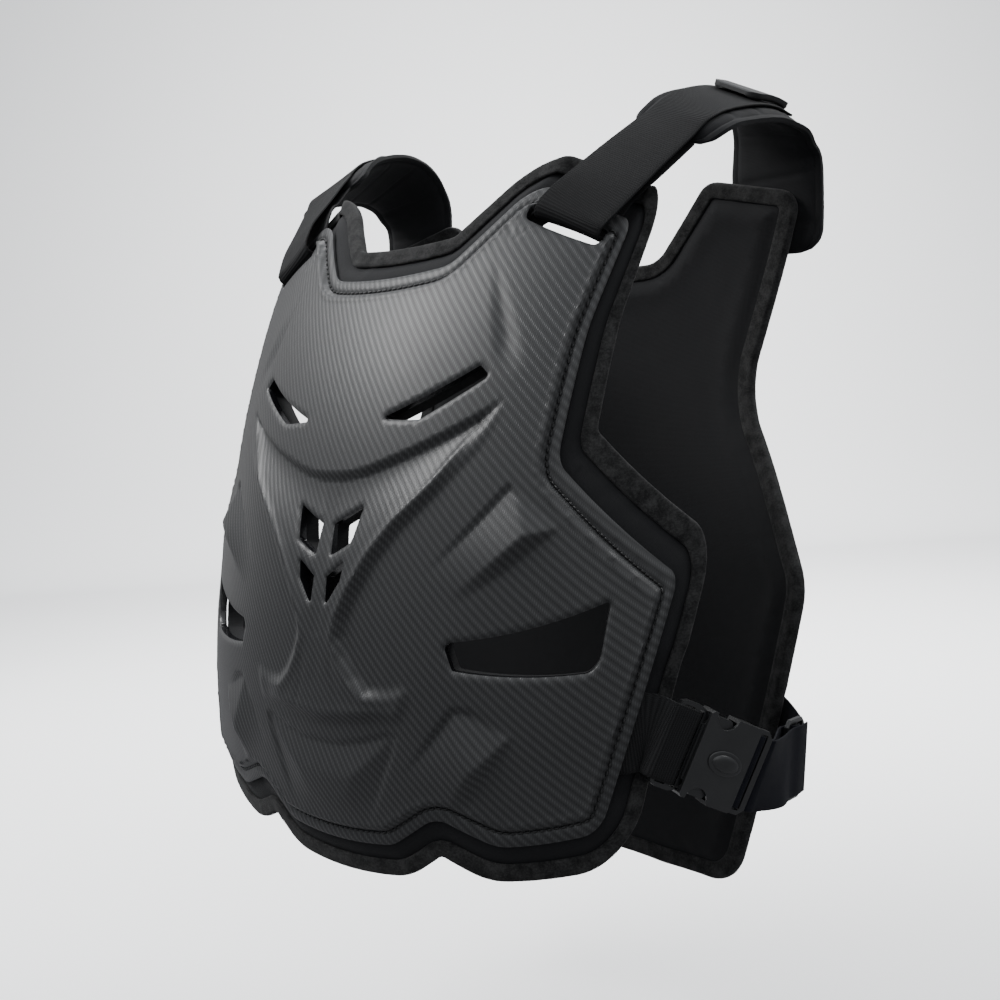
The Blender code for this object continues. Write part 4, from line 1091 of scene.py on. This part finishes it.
def hollows(points, outline, depth, scale, seed):
    """Soft uneven hollows over a pad's face, which fade out at its edge."""
    soft = 0.5 + 0.5 * uneven((u / scale, v / scale, seed) for u, v in points)
    return depth * soft * smooth((distance_in(points, outline) - 0.015) / 0.02)


def thinned(points, outline, thickness):
    """How far each face of a pad comes in towards its edge."""
    share = 1.0 - smooth((distance_in(points, outline) - BINDING_WIDTH - 0.0002) / PAD_TAPER)
    return (thickness - PAD_EDGE) / 2 * share


def edge_puckers(points, ring, seed):
    """Small folds square to the seam, strongest beside it."""
    rim = distance_in(points, ring) - BINDING_WIDTH
    turn = np.arctan2(points[:, 1] - 0.2, points[:, 0])
    waves = uneven((a * 22.0, seed, r * 25.0) for a, r in zip(turn, rim))
    return waves * np.exp(-np.maximum(rim, 0.0) / 0.012)


print("uneven numbers", np.round(uneven([(0.3, 0.2, 1.0), (0.7, 0.1, 1.0)]), 2))

# %% Chest pad
def pad_sheet(name, surface, outline, holes, top, bottom, node):
    creases = [even_ring(ring, 0.004) for ring in
               (parallel(outline, -BINDING_WIDTH - d) for d in (0.0005, 0.004, 0.009))]
    sheet = flat_sheet(outline, holes, creases, 0.0055)
    shape = thickened(sheet, surface, top, bottom)
    made = add_piece(name, shape, [KNIT, KNIT, KNIT], [node], sharp=1.0)
    return made


def make_chest_pad():
    outline = shell_outline(PAD_MARGIN)
    shell = shell_outline()

    def top(points):
        past_shell = smooth((-distance_in(points, shell) - 0.001) / 0.004)
        rim = distance_in(points, outline) - BINDING_WIDTH
        roll = 0.0014 * bell(rim - 0.006, 0.004) * past_shell
        pucker = 0.0005 * edge_puckers(points, outline, 3.0) * past_shell
        thin = thinned(points, outline, PAD_THICKNESS)
        return PAD_TOP - thin - strap_press(points) + roll + pucker

    def bottom(points):
        crown = 0.0010 * smooth((distance_in(points, outline) - 0.018) / 0.03)
        soft = hollows(points, outline, 0.0016, 0.055, 1.7)
        pucker = 0.0006 * edge_puckers(points, outline, 8.0)
        thin = thinned(points, outline, PAD_THICKNESS)
        return PAD_TOP - PAD_THICKNESS + thin - strap_press(points) - crown + soft + pucker

    holes = shell_holes(0.0012)
    return pad_sheet("chest_foam", chest_surface, outline, holes, top, bottom, "chest_pad")


make_chest_pad()

# %% Back pad
def make_back_pad():
    outline = back_outline()

    def outside(points):
        free = smooth((0.45 - points[:, 1]) / 0.03)
        free *= smooth((np.abs(points[:, 1] - BACK_ANCHOR) - 0.026) / 0.02)
        soft = hollows(points, outline, 0.0016, 0.060, 5.1) * np.maximum(free, 0.2)
        pucker = 0.0004 * edge_puckers(points, outline, 2.0) * free
        return pucker - thinned(points, outline, BACK_THICKNESS) - soft

    def inside_face(points):
        soft = hollows(points, outline, 0.0020, 0.055, 9.4)
        pucker = 0.0006 * edge_puckers(points, outline, 6.0)
        return thinned(points, outline, BACK_THICKNESS) - BACK_THICKNESS - 0.0008 + soft + pucker

    return pad_sheet("back_foam", back_surface, outline, [], outside, inside_face, "back_pad")


make_back_pad()

# %% [markdown]
# Edging
# A folded tape grips the thin edge of each pad. It is a U that follows the outline with a section
# every 2.5 mm. The tape is a little too long for the inner corners and a little too short for the
# outer ones, so its sides ripple, most at the inner corners.

# %% Edging tape
TAPE = 0.0014
TAPE_CLEAR = 0.0008


def ring_turn(ring):
    """How sharply a ring bends inwards at each point, smoothed."""
    ahead = np.roll(ring, -3, 0) - ring
    behind = ring - np.roll(ring, 3, 0)
    cross = (behind[:, 0] * ahead[:, 1] - behind[:, 1] * ahead[:, 0]) * ring_sign(ring)
    bend = -cross / (np.linalg.norm(ahead, axis=1) * np.linalg.norm(behind, axis=1))
    for _ in range(3):
        bend = (np.roll(bend, 1) + bend + np.roll(bend, -1)) / 3
    return np.clip(bend * 3.0, 0.0, 1.0)


def make_binding(name, surface, ring, middle, press, node, seed):
    """Fold a tape round a pad's edge, its middle at a lift, pressed down by press(points)."""
    ring = even_ring(ring, 0.0025)
    inner = PAD_EDGE / 2 + TAPE_CLEAR
    outer = inner + TAPE
    fold = TAPE_CLEAR + TAPE
    arc = [(fold * math.cos(a) * 0.9 + 0.0002, outer * math.sin(a))
           for a in np.linspace(math.pi / 2, -math.pi / 2, 9)]
    tape_side = [-BINDING_WIDTH + d for d in (0.0, 0.0006, 0.0025, 0.0048, 0.0070)]
    section = [(tape_side[0], outer - 0.0007)] + [(x, outer) for x in tape_side[1:]] + arc
    section += [(x, -outer) for x in reversed(tape_side[1:])] + [(tape_side[0], -outer + 0.0007)]
    section += [(-BINDING_WIDTH, -inner), (TAPE_CLEAR, -inner), (TAPE_CLEAR, inner), (-BINDING_WIDTH, inner)]
    crimp = ring_turn(ring)
    count, rows = len(section), len(ring)
    shape = bmesh.new()
    bmesh.ops.create_grid(shape, x_segments=count, y_segments=rows, size=1.0)
    shape.verts.ensure_lookup_table()
    around = lengths_along(np.vstack([ring, ring[:1]]))
    centres = middle - press(ring)
    place = np.zeros((rows + 1, count + 1, 3))
    across = np.zeros((rows + 1, count + 1))
    reach = 0.0
    for k in range(count + 1):
        out, lift = section[k % count]
        if k:
            before = section[k - 1]
            reach += math.hypot(out - before[0], lift - before[1])
        outside_face = abs(lift) > inner + 0.0001 or out > TAPE_CLEAR + 0.0001
        wave = uneven((s * 95.0, out * 60.0, seed) for s in around[:-1])
        fine = uneven((s * 330.0, lift * 260.0, seed + 4.0) for s in around[:-1])
        ripple = (0.00022 + 0.00055 * crimp) * wave + 0.00012 * fine if outside_face else 0.0
        seam = -0.00030 if abs(abs(lift) - outer) < 1e-6 and abs(out + 0.0065) < 0.0008 else 0.0
        rise = lift + np.sign(lift) * (ripple + seam)
        spot = parallel(ring, out)
        place[:-1, k] = on_form(surface, spot, centres + rise)
        across[:, k] = reach
    place[-1] = place[0]
    across -= reach * 0.36
    lay_cloth(shape, list(zip(across.ravel(), np.repeat(around, count + 1))))
    for vertex, spot in zip(shape.verts, place.reshape(-1, 3)):
        vertex.co = spot
    bmesh.ops.remove_doubles(shape, verts=shape.verts, dist=1e-6)
    bmesh.ops.recalc_face_normals(shape, faces=shape.faces)
    return add_piece(name, shape, [EDGING], [node], sharp=1.2)


make_binding("chest_edging", chest_surface, shell_outline(PAD_MARGIN), PAD_TOP - PAD_THICKNESS / 2,
             strap_press, "chest_binding", 1.0)
make_binding("back_edging", back_surface, back_outline(), -BACK_THICKNESS / 2,
             lambda points: np.zeros(len(points)), "back_binding", 7.0)

# %% [markdown]
# Straps
# Straps are flat bands that bend along a route. A station of a route is a place, the direction
# across the band, and how far its edges bow down. A smooth curve through the stations carries the
# band's section, whose flat coordinates (across, along) the weave follows. Routes repeat the CAD
# model's, so every strap still threads its slot, bar and slider.

# %% Measures of straps, yokes and tabs
WEB_WIDTH = 0.045
WEB_THICKNESS = 0.0016
ELASTIC_THICKNESS = 0.0012
YOKE_WIDTH = 0.068
YOKE_THICKNESS = 0.008
TAB_WIDTH = 0.036
TAB_THICKNESS = 0.0045
CLEAR = 0.0003
STRAP_SEAT = 0.0010
SLOT_BOW = 0.0008
WEB_BOW = 0.0010
SHELL_BACK = -0.0056                # lift of the shell's inner face
SHOULDER_ROUTE = (                  # out, back and up in mm
    (131.0, -121.0, -57.5), (140.0, -97.0, -39.0), (150.0, -73.0, -21.0), (156.0, -58.0, -10.0),
    (160.0, -38.0, -1.5), (164.0, -10.0, 4.5), (166.0, 12.0, 5.5), (168.0, 32.0, 1.0),
    (168.5, 47.0, -10.0), (167.0, 55.5, -27.0))
YOKE_SEWN = ((0.738, 0.950), (0.732, 0.885))
ELASTIC_SEWN = (0.670, 0.768)
SLOT_ACROSS = np.array((0.89, 0.21, -0.41))
STRAP_TWIST = 0.85                  # share of the slot's direction where the strap leaves the chest
SHOULDER_ACROSS = np.array((0.80, -0.34, -0.47))
CREST_ACROSS = np.array((0.88, -0.05, -0.44))


print("stations over the shoulder", len(SHOULDER_ROUTE))

# %% Bands along routes
def spline(stations, step):
    """A smooth curve through stations, in steps of about step."""
    rows = [np.array(s, float) for s in stations]
    ends = [2 * rows[0] - rows[1]] + rows + [2 * rows[-1] - rows[-2]]
    line = []
    for a, b, c, d in zip(ends, ends[1:], ends[2:], ends[3:]):
        pieces = max(2, round(np.linalg.norm(c[:3] - b[:3]) / step))
        for t in np.arange(pieces) / pieces:
            line.append(0.5 * (2 * b + (c - a) * t + (2 * a - 5 * b + 4 * c - d) * t * t
                               + (3 * b - a - 3 * c + d) * t ** 3))
    return line + [rows[-1]]


def flat_profile(width, thickness, columns=12):
    """Closed section of a band with rounded selvedges, as (across, lift)."""
    half, deep = width / 2, thickness / 2
    top = [(x, deep) for x in np.linspace(-half + deep, half - deep, columns)]
    right = [(half - deep + deep * math.sin(a), deep * math.cos(a))
             for a in np.linspace(0.0, math.pi, 7)[1:-1]]
    return top + right + [(-x, -y) for x, y in top + right]


def band_shape(stations, profile, step, change=None):
    """A band along stations. change(across, lift, along, length) may move a section's points."""
    line = spline(stations, step)
    spots = np.array([row[:3] for row in line])
    along = lengths_along(spots)
    count = len(profile)
    half = max(p[0] for p in profile)
    shape = bmesh.new()
    bmesh.ops.create_grid(shape, x_segments=count, y_segments=len(line) - 1, size=1.0)
    shape.verts.ensure_lookup_table()
    lay_cloth(shape, [(profile[k % count][0], length) for length in along for k in range(count + 1)])
    for i, row in enumerate(line):
        ahead = unit(spots[min(i + 1, len(line) - 1)] - spots[max(i - 1, 0)])
        across = unit(row[3:6] - ahead * (row[3:6] @ ahead))
        normal = np.cross(ahead, across)
        for k in range(count + 1):
            a, b = profile[k % count]
            if change:
                a, b = change(a, b, along[i], along[-1])
            vertex = shape.verts[i * (count + 1) + k]
            vertex.co = row[:3] + across * a + normal * (b - row[6] * (a / half) ** 2)
    bmesh.ops.remove_doubles(shape, verts=shape.verts, dist=1e-6)
    rims = [e for e in shape.edges if len(e.link_faces) == 1]
    bmesh.ops.holes_fill(shape, edges=rims, sides=0)
    bmesh.ops.recalc_face_normals(shape, faces=shape.faces)
    return shape


def both_sides(name, make, finishes, node, sharp=0.9):
    """Add a left piece and its mirror image."""
    made = []
    for side, word in ((LEFT, "left"), (RIGHT, "right")):
        shape = make()
        if side == RIGHT:
            for vertex in shape.verts:
                vertex.co.x = -vertex.co.x
            bmesh.ops.reverse_faces(shape, faces=shape.faces)
        made.append(add_piece(f"{name}_{word}", shape, finishes,
                              [f"{node}_{word}"] if node else (), sharp))
    return made


print("points round a band", len(flat_profile(WEB_WIDTH, WEB_THICKNESS)))

# %% Shoulder webbing
def shoulder_stations(lift, first, last):
    """Stations over the shoulder, moved out by lift, from one row of the route to another."""
    rows = [np.array(r) * MM for r in SHOULDER_ROUTE]
    made = []
    for i in range(first, last + 1):
        crest, slot = smooth((i - 3) / 3), STRAP_TWIST * max(0.0, 1.0 - i / 3)
        across = SHOULDER_ACROSS * (1 - crest) + CREST_ACROSS * crest
        across = across * (1 - slot) + SLOT_ACROSS * slot
        ahead = rows[min(i + 1, len(rows) - 1)] - rows[max(i - 1, 0)]
        normal = unit(np.cross(across, ahead))
        made.append(np.concatenate([rows[i] + normal * lift, across, [0.0]]))
    return made


def form_station(surface, spot, aside, lift, bow=0.0):
    """A station on a torso form, with the band's width towards spot + aside."""
    here = spot_on(surface, *spot, lift)
    across = spot_on(surface, *(np.array(spot) + aside), lift) - here
    return np.concatenate([here, unit(across), [bow]])


def strap_station(ahead, lift, bow=SLOT_BOW):
    way = strap_way()
    aside = np.array([way[1], -way[0]]) * MM
    return form_station(chest_surface, slot_middle() + way * ahead, aside, lift, bow)


def shoulder_strap():
    half = WEB_THICKNESS / 2
    under = SHELL_BACK - 5 * CLEAR - half
    over = half + 5 * CLEAR
    turn = SLOT_HALF_WIDTH - half - 1.5 * CLEAR
    sewn = shoulder_stations(-half - STRAP_SEAT - YOKE_THICKNESS / 2, 1, 2)
    back = sewn[0][:3] - sewn[1][:3]
    sewn[1][:3] += unit(back) * 2 * CLEAR
    lower = [strap_station(0.028, under, SLOT_BOW / 2),
             strap_station(0.014, under), strap_station(SLOT_HALF_WIDTH, under)]
    bend = [strap_station(turn - 0.0012, under + 0.0004), strap_station(turn - 0.0032, under + 0.0026),
            strap_station(turn - 0.0032, over - 0.0026), strap_station(turn - 0.0012, over - 0.0002)]
    upper = [strap_station(SLOT_HALF_WIDTH + 0.001, over + 0.0003)]
    free = shoulder_stations(0.0, 0, 6) + shoulder_stations(STRAP_SEAT, 7, 7)
    return band_shape(sewn[::-1] + lower + bend + upper + free, flat_profile(WEB_WIDTH, WEB_THICKNESS), 0.003)


both_sides("shoulder_webbing", shoulder_strap, [WEBBING], "shoulder_strap")

# %% [markdown]
# Shoulder yokes and tabs
# A padded yoke lies under each strap and is sewn to the back pad. Its foam is pinched by a seam
# near both edges and by short cross seams, between which the cloth swells. The tab that closes
# the strap is a soft rubber tongue with rounded corners and a raised rim.

# %% Padded yokes
YOKE_SEAM = 0.0050                  # from the edge
QUILT_PITCH = 0.031


def both_ways(shares):
    """Shares of a half width on both sides of the middle, in order."""
    return np.array(sorted({share * way for share in shares for way in (-1.0, 1.0)}))


def yoke_section():
    xs = YOKE_WIDTH / 2 * both_ways((0.1, 0.26, 0.42, 0.58, 0.72, 0.82, 0.86, 0.91, 0.955, 0.985, 1.0))
    return [(x, 1.0) for x in xs] + [(x, -1.0) for x in xs[::-1]]


def corner_share(end, half, radius):
    """Share of the full width at a distance from a band's rounded end."""
    if end >= radius:
        return 1.0
    return (half - radius + math.sqrt(max(radius ** 2 - (radius - end) ** 2, 0.0))) / half


def yoke_change(across, side, along, length):
    """Crowned thickness with pinched seams."""
    half = YOKE_WIDTH / 2
    rim = half - abs(across)
    crown = PAD_EDGE / 2 + (YOKE_THICKNESS - PAD_EDGE) / 2 * smooth((rim - 0.001) / 0.009)
    crown -= 0.0011 * bell(rim - YOKE_SEAM, 0.0011)
    cross = abs((along / QUILT_PITCH + 0.5) % 1.0 - 0.5) * QUILT_PITCH
    crown -= 0.0010 * bell(cross, 0.0016) * smooth((rim - YOKE_SEAM) / 0.002)
    crown -= 0.0006 * smooth(1.0 - rim / 0.0016)
    wrinkle = 0.0003 * noise.noise(Vector((across * 60.0, along * 90.0, side * 5.0)))
    end = min(along, length - along)
    crown *= 0.45 + 0.55 * smooth(end / 0.006)
    crown -= 0.0010 * bell(end - YOKE_SEAM, 0.0011)
    return corner_share(end, half, 0.016) * across, side * max(crown + wrinkle, 0.0006)


def shoulder_yoke():
    lift = -(WEB_THICKNESS / 2 + STRAP_SEAT + YOKE_THICKNESS / 2)
    stations = shoulder_stations(lift, 2, len(SHOULDER_ROUTE) - 1)
    for across, up in sized(YOKE_SEWN, BACK_HALF_WIDTH, BACK_HEIGHT):
        stations.append(form_station(back_surface, (across, up), (MM, 0.0), CLEAR + YOKE_THICKNESS / 2))
    return band_shape(stations, yoke_section(), 0.0022, yoke_change)


for yoke in both_sides("padded_yoke", shoulder_yoke, [KNIT], "shoulder_yoke"):
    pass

# %% Closing tabs
def make_rubber():
    finish = Finish("tab_rubber", Roughness=0.5)
    rim = finish.cloth_axes()[0].size().step(15.0, 15.5)
    grain = finish.speckle(1100.0, 3.0)
    soft = finish.speckle(60.0, 2.0)
    finish.colour(grain * 0.4 + soft * 0.4 + rim * 0.2, (0.004, 0.004, 0.0045), (0.017, 0.017, 0.018))
    finish.link("Roughness", 0.42 + soft * 0.16 + grain * 0.05)
    finish.relief(grain * 0.6 + rim * 0.4, 0.10)
    return finish.material


RUBBER = make_rubber()


def tab_section():
    """Rounded edges and a rim that stands 0.6 mm over the middle."""
    half, deep = TAB_WIDTH / 2, TAB_THICKNESS / 2
    xs = half * both_ways((0.0, 0.5, 0.84, 0.86, 0.91, 0.96, 0.99, 1.0))
    top = []
    for x in xs:
        sunk = 0.0006 if abs(x) < 0.85 * half else 0.0
        top.append((x, deep * (0.45 + 0.55 * min(1.0, (half - abs(x)) / 0.0009)) - sunk))
    return top + [(x, -deep * 0.9) for x in xs[::-1]]


def tab_change(across, lift, along, length):
    end = min(along, length - along)
    lift *= 0.6 + 0.4 * smooth(end / 0.0012)
    return corner_share(end, TAB_WIDTH / 2, 0.007) * across, lift


def strap_tab():
    lift = WEB_THICKNESS / 2 + STRAP_SEAT + TAB_THICKNESS / 2
    stations = shoulder_stations(lift, 5, 6) + shoulder_stations(lift + 1.5 * STRAP_SEAT, 7, 7)
    return band_shape(stations, tab_section(), 0.0012, tab_change)


both_sides("closing_tab", strap_tab, [RUBBER], "strap_tab")

# %% [markdown]
# Side straps
# Ribbed webbing leaves the shell's edge, folds round a bar of the buckle and returns. Elastic runs
# from the back pad through the slider, round the socket's bar and back to the slider. Both follow
# the buckle's own axes, which lie oblique to the body.

# %% Axes of the buckle and the slider
BUCKLE_LEAD = np.array((0.00522, 0.01129, -0.00450))
BUCKLE_ALONG = (0.47, 0.75, -0.465)
BUCKLE_ACROSS = (0.27, 0.38, 0.88)
SLIDER_LEAD = np.array((0.0239, 0.1144, -0.0423))
SLIDER_ALONG = (0.00, 0.99, -0.10)
SLIDER_ACROSS = (0.05, 0.16, 0.98)
LOOP_LENGTH = 0.019
BODY_LENGTH = 0.047
FRAME_THICKNESS = 0.0040
SOCKET_FRAME = 0.0115
SLIDER_THICKNESS = 0.0028


def frame_of(start, along, across):
    """Start, along, across and outward directions of a buckle or slider."""
    along = unit(along)
    across = unit(np.array(across) - along * (np.array(across) @ along))
    return np.array(start), along, across, np.cross(along, across)


BUCKLE = frame_of(spot_on(chest_surface, *web_middle(), 0.0) + BUCKLE_LEAD, BUCKLE_ALONG, BUCKLE_ACROSS)
SLIDER = frame_of(BUCKLE[0] + SLIDER_LEAD, SLIDER_ALONG, SLIDER_ACROSS)


def frame_station(axes, p, q):
    """A station p along a buckle's axis and q out from it."""
    return np.concatenate([axes[0] + axes[1] * p + axes[3] * q, axes[2], [0.0]])


print("buckle starts at", np.round(BUCKLE[0], 3), "slider at", np.round(SLIDER[0], 3))

# %% Side webbing
def side_web():
    half = WEB_THICKNESS / 2
    under = SHELL_BACK - 2 * CLEAR - half
    off = FRAME_THICKNESS / 2 + CLEAR + half
    way = web_way()
    aside = np.array([-way[1], way[0]]) * MM
    route = [form_station(chest_surface, web_middle() + way * a, aside, under, WEB_BOW)
             for a in (-0.020, -0.010, 0.0025)]
    route += [frame_station(BUCKLE, p, q) for p, q in (
        (-0.0020, off), (0.0030, off), (0.0110, off), (0.0140, off - 0.0002), (0.0153, 0.0012),
        (0.0153, -0.0012), (0.0140, 0.0002 - off), (0.0110, -off), (0.0030, -off), (0.0008, -off))]
    return band_shape(route, flat_profile(WEB_WIDTH - 0.001, WEB_THICKNESS), 0.0015)


both_sides("side_webbing", side_web, [WEBBING], "side_web")

# %% Side elastic
def side_elastic():
    half = ELASTIC_THICKNESS / 2
    end = LOOP_LENGTH + BODY_LENGTH
    bar = end - SOCKET_FRAME + 0.0041
    off = 0.0012 + CLEAR + half
    side_off = SLIDER_THICKNESS / 2 + CLEAR + half
    low = side_off + 0.0001
    seat = CLEAR + half
    first, last = [share * BACK_HALF_WIDTH for share in ELASTIC_SEWN]
    route = [form_station(back_surface, (across, BACK_ANCHOR), (0.0, MM), lift)
             for across, lift in ((first, seat), (last, seat), (last + 0.018, seat + 0.0030))]
    route += [frame_station(SLIDER, p, q) for p, q in (
        (0.0170, -low - 0.0004), (0.0096, -low), (0.0074, -0.0019), (0.0052, 0.0), (0.0030, 0.0019),
        (0.0008, low), (-0.0008, low), (-0.0030, 0.0019), (-0.0052, 0.0), (-0.0074, -0.0019),
        (-0.0096, -low), (-0.0170, -low - 0.0004))]
    route += [frame_station(BUCKLE, p, q) for p, q in (
        (end + 0.006, -0.0050), (end - 0.002, -0.0048), (bar + 0.0024, -0.0042), (bar - 0.0008, -0.0029),
        (bar - 0.0029, -0.0010), (bar - 0.0029, 0.0010), (bar - 0.0018, off + 0.0001),
        (bar + 0.0013, off + 0.0001), (bar + 0.0027, 0.0010), (bar + 0.0026, -0.0016),
        (bar + 0.0040, -0.0031), (end, -0.0033), (end + 0.006, -0.0022))]
    route += [frame_station(SLIDER, p, q) for p, q in (
        (-0.030, side_off + 0.005), (-0.0120, side_off + 0.0018), (0.0, side_off + 3 * half + CLEAR),
        (0.0115, side_off + 0.0010))]
    return band_shape(route, flat_profile(WEB_WIDTH - 0.001, ELASTIC_THICKNESS), 0.0018)


both_sides("side_elastic_band", side_elastic, [ELASTIC], "side_elastic")

# %% [markdown]
# Moulded plastic
# The buckle halves and the sliders have the right shape in the CAD model, so they stay. Modifiers
# weld their loose triangles, join the ones that lie flat and round the edges, which gives them the
# small radii of injection moulding, where the light catches.

# %% Buckles and sliders
def make_plastic():
    finish = Finish("buckle_plastic", Roughness=0.30, Specular_IOR_Level=0.6)
    grain = finish.speckle(1600.0, 2.0)
    flow = finish.speckle(70.0, 3.0)
    scuff = finish.speckle(240.0, 4.0, 0.75).step(0.60, 0.74)
    finish.colour(flow * 0.6 + scuff * 0.4, (0.008, 0.0082, 0.0086), (0.022, 0.0222, 0.0232))
    finish.link("Roughness", 0.26 + flow * 0.10 + scuff * 0.12)
    finish.relief(grain * 0.8 + scuff * 0.2, 0.05)
    return finish.material


PLASTIC = make_plastic()


def round_edges(node, radius):
    """Keep a CAD node and soften it with modifiers alone."""
    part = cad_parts[node]
    weld = part.modifiers.new("weld", "WELD")
    weld.merge_threshold = 1e-5
    flat = part.modifiers.new("flat", "DECIMATE")
    flat.decimate_type = "DISSOLVE"
    flat.angle_limit = math.radians(2.0)
    soft = part.modifiers.new("soft", "BEVEL")
    soft.width = radius
    soft.segments = 4
    soft.limit_method = "ANGLE"
    soft.angle_limit = math.radians(35.0)
    soft.harden_normals = True
    part.data.materials.clear()
    part.data.materials.append(PLASTIC)


for word in ("left", "right"):
    round_edges(f"buckle_prong_{word}", 0.0006)
    round_edges(f"buckle_socket_{word}", 0.0013)
    round_edges(f"slider_{word}", 0.0008)
print("hard pieces kept from the CAD model")

# %% [markdown]
# Release button
# The socket's flat oval plate carries a domed button inside a low rim. Both are spheres flattened
# in the buckle's own axes: a wide low lens for the rim, and a smaller, higher one for the dome.

# %% Domes on the sockets
BUTTON_AT = LOOP_LENGTH + 0.020
BUTTON_SEAT = 0.00625 + 0.0009      # top of the CAD model's oval plate over the middle plane
BUTTON_LENSES = ((0.0113, 0.0070, 0.0007, -0.0003), (0.0088, 0.0048, 0.0016, 0.0001))


def release_button():
    start, along, across, out = BUCKLE
    shape = bmesh.new()
    for half_length, half_width, half_height, lift in BUTTON_LENSES:
        middle = start + along * BUTTON_AT + out * (BUTTON_SEAT + lift)
        axes = Matrix((along * half_length, across * half_width, out * half_height)).transposed()
        bmesh.ops.create_uvsphere(shape, u_segments=40, v_segments=16, radius=1.0,
                                  matrix=Matrix.Translation(Vector(middle)) @ axes.to_4x4())
    bmesh.ops.recalc_face_normals(shape, faces=shape.faces)
    return shape


both_sides("release_button", release_button, [PLASTIC], None)
